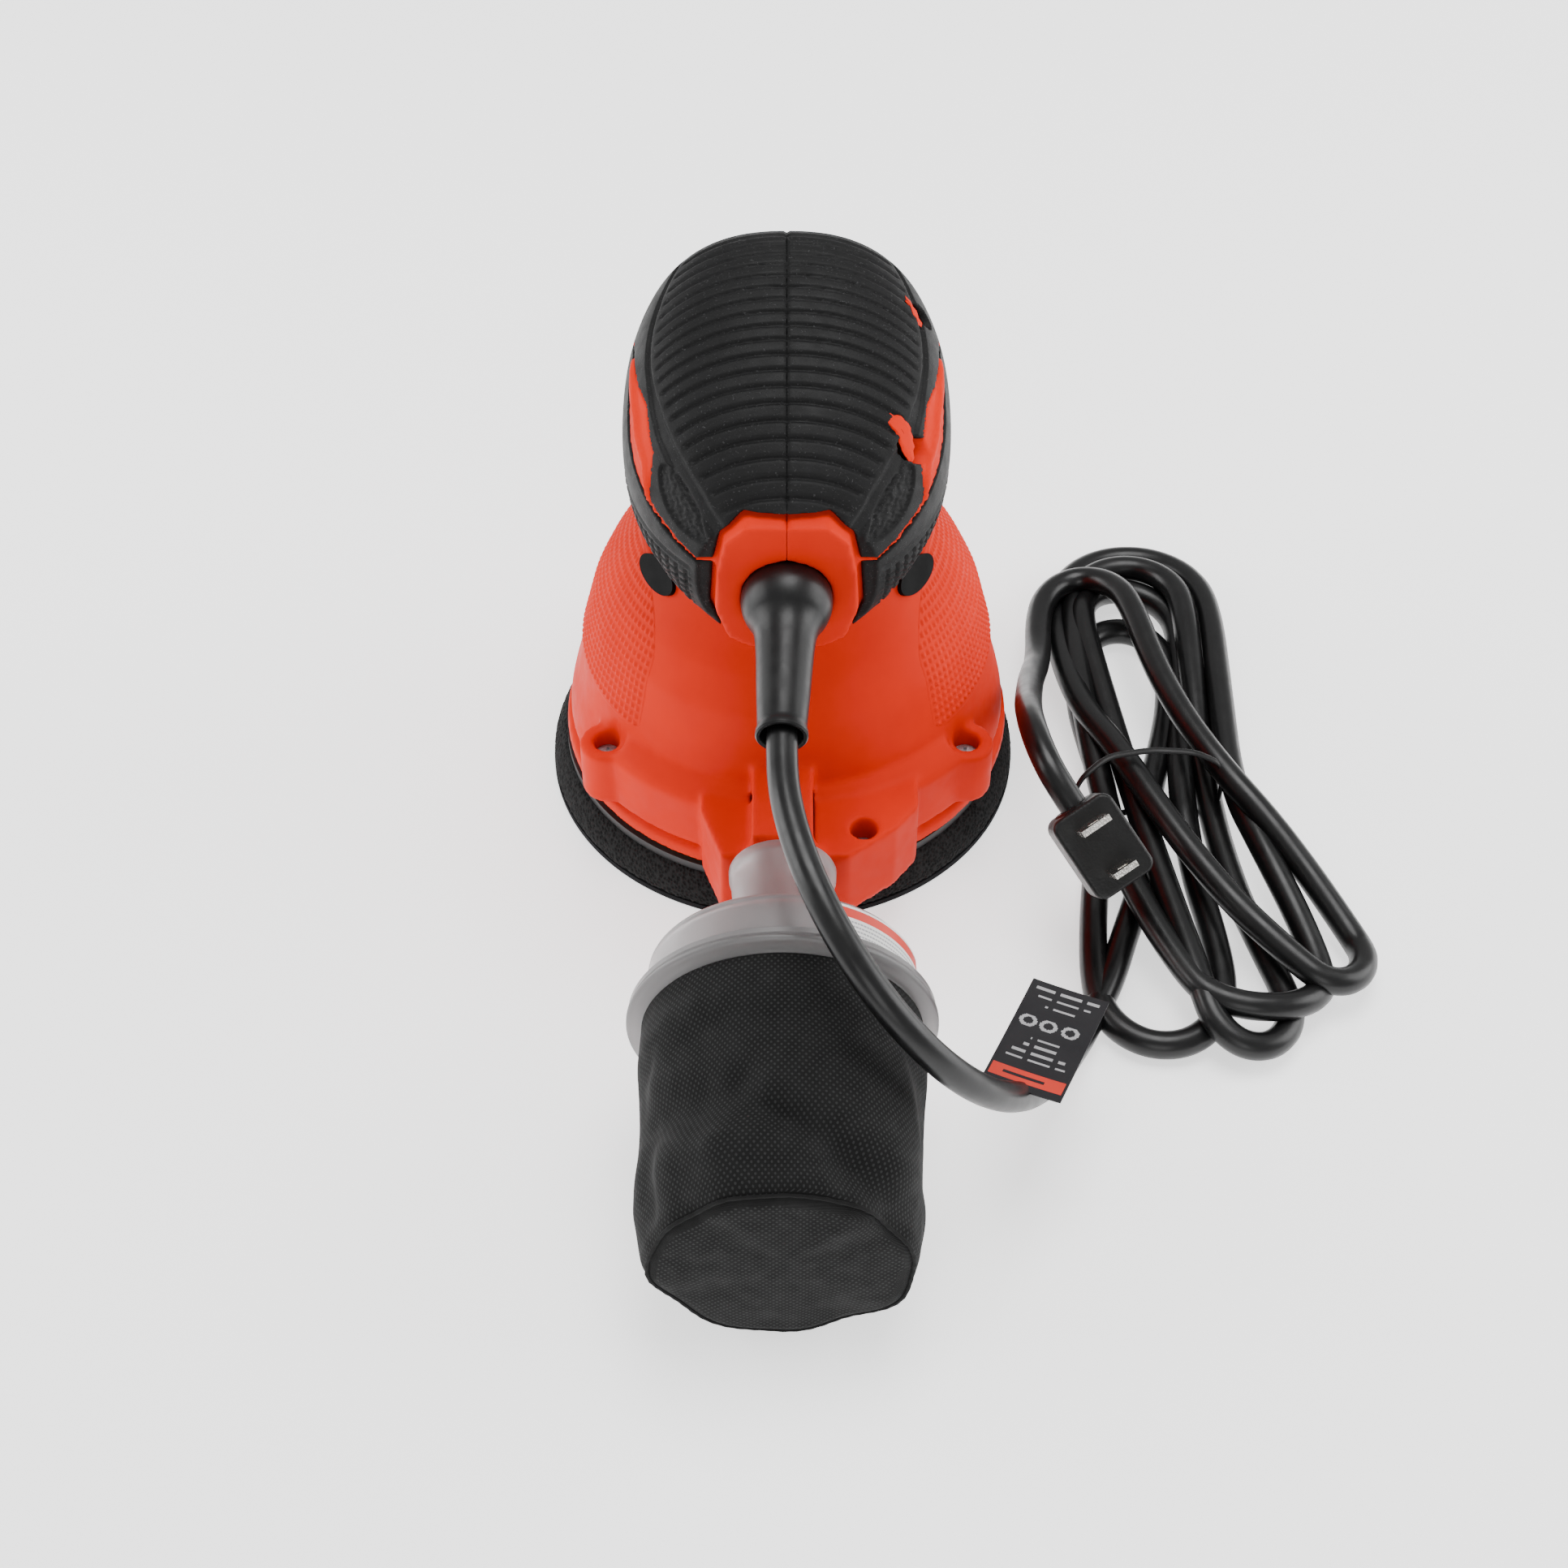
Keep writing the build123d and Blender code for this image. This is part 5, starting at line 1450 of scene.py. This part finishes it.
        turn = np.arctan2(points[:, 2] - 34, points[:, 0] + 1)
        ripple = 0.7 * np.sin(5 * turn + 0.9) + 0.5 * np.sin(9 * turn + points[:, 1] * 0.11)
        ripple = ripple * smooth_step(20, 50, self.held_y - points[:, 1])
        fade = fade * smooth_step(4, 25, np.hypot(points[:, 0] + 1, points[:, 2] - 30.8))
        settled = points + inward * ((wobble + ripple) * fade)[:, None]
        seam_row = rows + 2
        ring = settled[seam_row * columns:(seam_row + 1) * columns]
        settled[seam_row * columns:(seam_row + 1) * columns] = ring + 0.55 * (ring - ring.mean(axis=0)) / 30
        write_points(piece.data, settled)
        flat = np.column_stack([around, length])
        on_disc = np.arange(len(points)) >= (rows + 3) * columns
        flat[on_disc] = points[on_disc][:, (0, 2)]
        write_uv(piece.data, flat)
        subdivide = piece.modifiers.new("Subdivision", "SUBSURF")
        subdivide.levels = 1
        subdivide.render_levels = 1
        mesh = baked(piece)
        piece.modifiers.clear()
        piece.data = mesh
        mesh.shade_smooth()
        seam = self.seam(ring)
        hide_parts("filter_bag")
        return [piece, seam]


# ---- Pad and brush springs -------------------------------------------------------------------
@dataclass(frozen=True)
class SandingPad:
    """The pad's foam: an even mesh with a rough, slightly rounded edge."""

    voxel: float = 0.9
    offset: float = -1.0
    limit: float = 62.45
    bulge: float = 0.9
    roughness: float = 0.07

    def build(self, frame: dict) -> list:
        """Swell the foam's edge by a sine of the height plus a seeded roughness, inside the pad's radius.

        Args:
            frame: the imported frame.

        Returns:
            The foam.
        """
        mesh = remeshed([frame["nodes"]["pad_foam"]], self.voxel, 4)
        points = read_points(mesh)
        generator = np.random.default_rng(7)
        middle = np.array([self.offset, 0.0, 0.0])
        away = points - middle
        radius = np.hypot(away[:, 0], away[:, 1])
        edge = smooth_step(56, 58, radius)
        bulge = self.bulge * np.sin(np.pi * np.clip((points[:, 2] - 1.6) / 8.4, 0, 1))
        rough = generator.normal(0.0, self.roughness, len(points))
        limit = np.minimum(radius + edge * (bulge + rough), self.limit)
        scale = np.where(radius > 40, limit / np.maximum(radius, 1e-6), 1.0)
        points[:, 0] = middle[0] + away[:, 0] * scale
        points[:, 1] = away[:, 1] * scale
        write_points(mesh, points)
        piece = place_mesh("pad_foam_ring", mesh, "pad_foam", "pad", 180)
        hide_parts("pad_foam")
        return [piece]


@dataclass(frozen=True)
class BrushSprings:
    """The two brushes' wound springs."""

    height: float = 106.3
    inner: float = 21.3
    fixed: float = 26.4
    coil: float = 1.9
    wire: float = 0.28
    turns: float = 4.5
    squashed: float = 0.41

    def spring(self, side: int) -> bpy.types.Object:
        """One spring, a circle carried along a helix.

        Args:
            side: -1 for the left one, 1 for the right one.

        Returns:
            The new object.
        """
        count, ring = 150, 12
        share = np.linspace(0, 1, count)
        turn = 2 * math.pi * self.turns * share
        reach = self.fixed - self.inner - 2 * self.wire
        line = np.column_stack([self.inner + self.wire + reach * share, self.coil * np.cos(turn),
                                self.height + self.coil * np.sin(turn)])
        ahead = np.gradient(line, axis=0)
        ahead = ahead / np.linalg.norm(ahead, axis=1, keepdims=True)
        outward = np.column_stack([np.zeros(count), np.cos(turn), np.sin(turn)])
        beside = np.cross(ahead, outward)
        around = 2 * math.pi * np.arange(ring) / ring
        tube = (line[:, None] + self.wire * np.cos(around)[None, :, None] * outward[:, None]
                + self.wire * np.sin(around)[None, :, None] * beside[:, None])
        points = tube.reshape(-1, 3) * (side, 1, 1)
        faces = grid_faces(count, ring, True)
        faces += [list(range(ring))[::-1], [(count - 1) * ring + index for index in range(ring)]]
        if side > 0:
            faces = [face[::-1] for face in faces]
        word = "right" if side > 0 else "left"
        piece = make_object(f"{word}_brush_coil", points, faces, "screw_steel", "root")
        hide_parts(f"{word}_brush_spring")
        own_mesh(piece)
        return piece

    def build(self) -> list:
        """Make both springs, and return them."""
        return [self.spring(side) for side in (-1, 1)]


# ---- Carried-over CAD nodes and the stage ----------------------------------------------------
def dress_nodes(frame: dict) -> None:
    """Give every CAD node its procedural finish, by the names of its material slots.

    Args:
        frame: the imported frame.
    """
    for name, node in frame["nodes"].items():
        for slot in node.material_slots:
            base = slot.material.name.split(".")[0] if slot.material else "grey_plastic"
            slot.link = "OBJECT"
            slot.material = PALETTE.get(base if base in FINISHES else "grey_plastic")
        if not node.material_slots:
            LOG.warning("node %s has no material slot", name)


@dataclass(frozen=True)
class Studio:
    """A pale floor, soft studio light and the camera. Lengths are metres, powers watts."""

    floor_size: float = 3.0
    floor_drop: float = 0.0003
    world: float = 0.62
    lens: float = 60.24
    sensor: float = 36.0
    eye: tuple = (-0.00065, -0.5032, 0.5175)
    pitch: float = 46.61
    lamps: tuple = (
        ("key", (0.10, 0.15, 1.20), (0, -0.03, 0.05), 0.7, 12.0),
        ("left", (-1.0, 0.10, 0.40), (0, 0, 0.06), 0.7, 8.0),
        ("right", (1.0, 0.10, 0.40), (0.05, 0, 0.05), 0.7, 8.0),
        ("front", (0.0, -1.2, 0.60), (0, -0.05, 0.06), 0.6, 3.0),
    )

    def floor(self) -> None:
        """One flat pale quad just under the pad, lit a little from itself."""
        mesh = bpy.data.meshes.new("floor")
        size, low = self.floor_size, -self.floor_drop
        corners = [(-size, -size, low), (size, -size, low), (size, size, low), (-size, size, low)]
        mesh.from_pydata(corners, [], [[0, 1, 2, 3]])
        floor = bpy.data.objects.new("floor", mesh)
        bpy.context.scene.collection.objects.link(floor)
        material = bpy.data.materials.new("floor_paint")
        material.use_nodes = True
        tree = Tree(material.node_tree)
        output = tree.add("ShaderNodeOutputMaterial")
        shader = tree.add("ShaderNodeBsdfPrincipled")
        tree.join(shader, "BSDF", output, "Surface")
        noise = tree.add("ShaderNodeTexNoise")
        noise.inputs["Scale"].default_value = 1 / (400 * MM)
        tree.join(tree.place, "Object", noise, "Vector")
        tone = tree.mix(noise.outputs[0])
        tone.inputs[6].default_value = (0.90, 0.90, 0.90, 1.0)
        tone.inputs[7].default_value = (0.93, 0.93, 0.93, 1.0)
        tree.join(tone, 2, shader, "Base Color")
        shader.inputs["Roughness"].default_value = 0.9
        tree.join(tone, 2, shader, "Emission Color")
        shader.inputs["Emission Strength"].default_value = 1.25
        mesh.materials.append(material)

    def light(self) -> None:
        """A white world and square area lamps that face the object."""
        world = bpy.data.worlds.new("studio")
        world.use_nodes = True
        world.node_tree.nodes["Background"].inputs["Color"].default_value = (1.0, 1.0, 1.0, 1.0)
        world.node_tree.nodes["Background"].inputs["Strength"].default_value = self.world
        bpy.context.scene.world = world
        for name, place, aim, size, power in self.lamps:
            data = bpy.data.lights.new(name, "AREA")
            data.shape = "SQUARE"
            data.size = size
            data.energy = power
            lamp = bpy.data.objects.new(name, data)
            lamp.location = place
            lamp.rotation_euler = (Vector(aim) - Vector(place)).to_track_quat("-Z", "Y").to_euler()
            bpy.context.scene.collection.objects.link(lamp)

    def camera(self) -> None:
        """The camera, behind the bag and looking down on the machine."""
        data = bpy.data.cameras.new("camera")
        data.lens = self.lens
        data.sensor_width = self.sensor
        data.clip_start = 0.02
        camera = bpy.data.objects.new("camera", data)
        camera.location = self.eye
        camera.rotation_euler = (math.radians(90 - self.pitch), 0.0, 0.0)
        bpy.context.scene.collection.objects.link(camera)
        bpy.context.scene.camera = camera

    def build(self) -> None:
        """Set the whole stage."""
        self.floor()
        self.light()
        self.camera()


def main() -> None:
    """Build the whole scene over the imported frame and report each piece."""
    logging.basicConfig(level=logging.INFO, format="%(name)s: %(message)s")
    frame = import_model()
    PALETTE.slots.update(entry.get("slot") for entry in frame["record"].get("materials", []))
    Studio().build()
    dress_nodes(frame)
    pieces = MainsLead().build(frame)
    pieces += Head().build(frame)
    pieces += Shroud().build(frame)
    pieces += SandingPad().build(frame)
    pieces += BrushSprings().build()
    pieces += DustCup().build()
    pieces += DustBag().build()
    for piece in pieces:
        LOG.info("%s", piece.name)


if __name__ == "__main__":
    main()
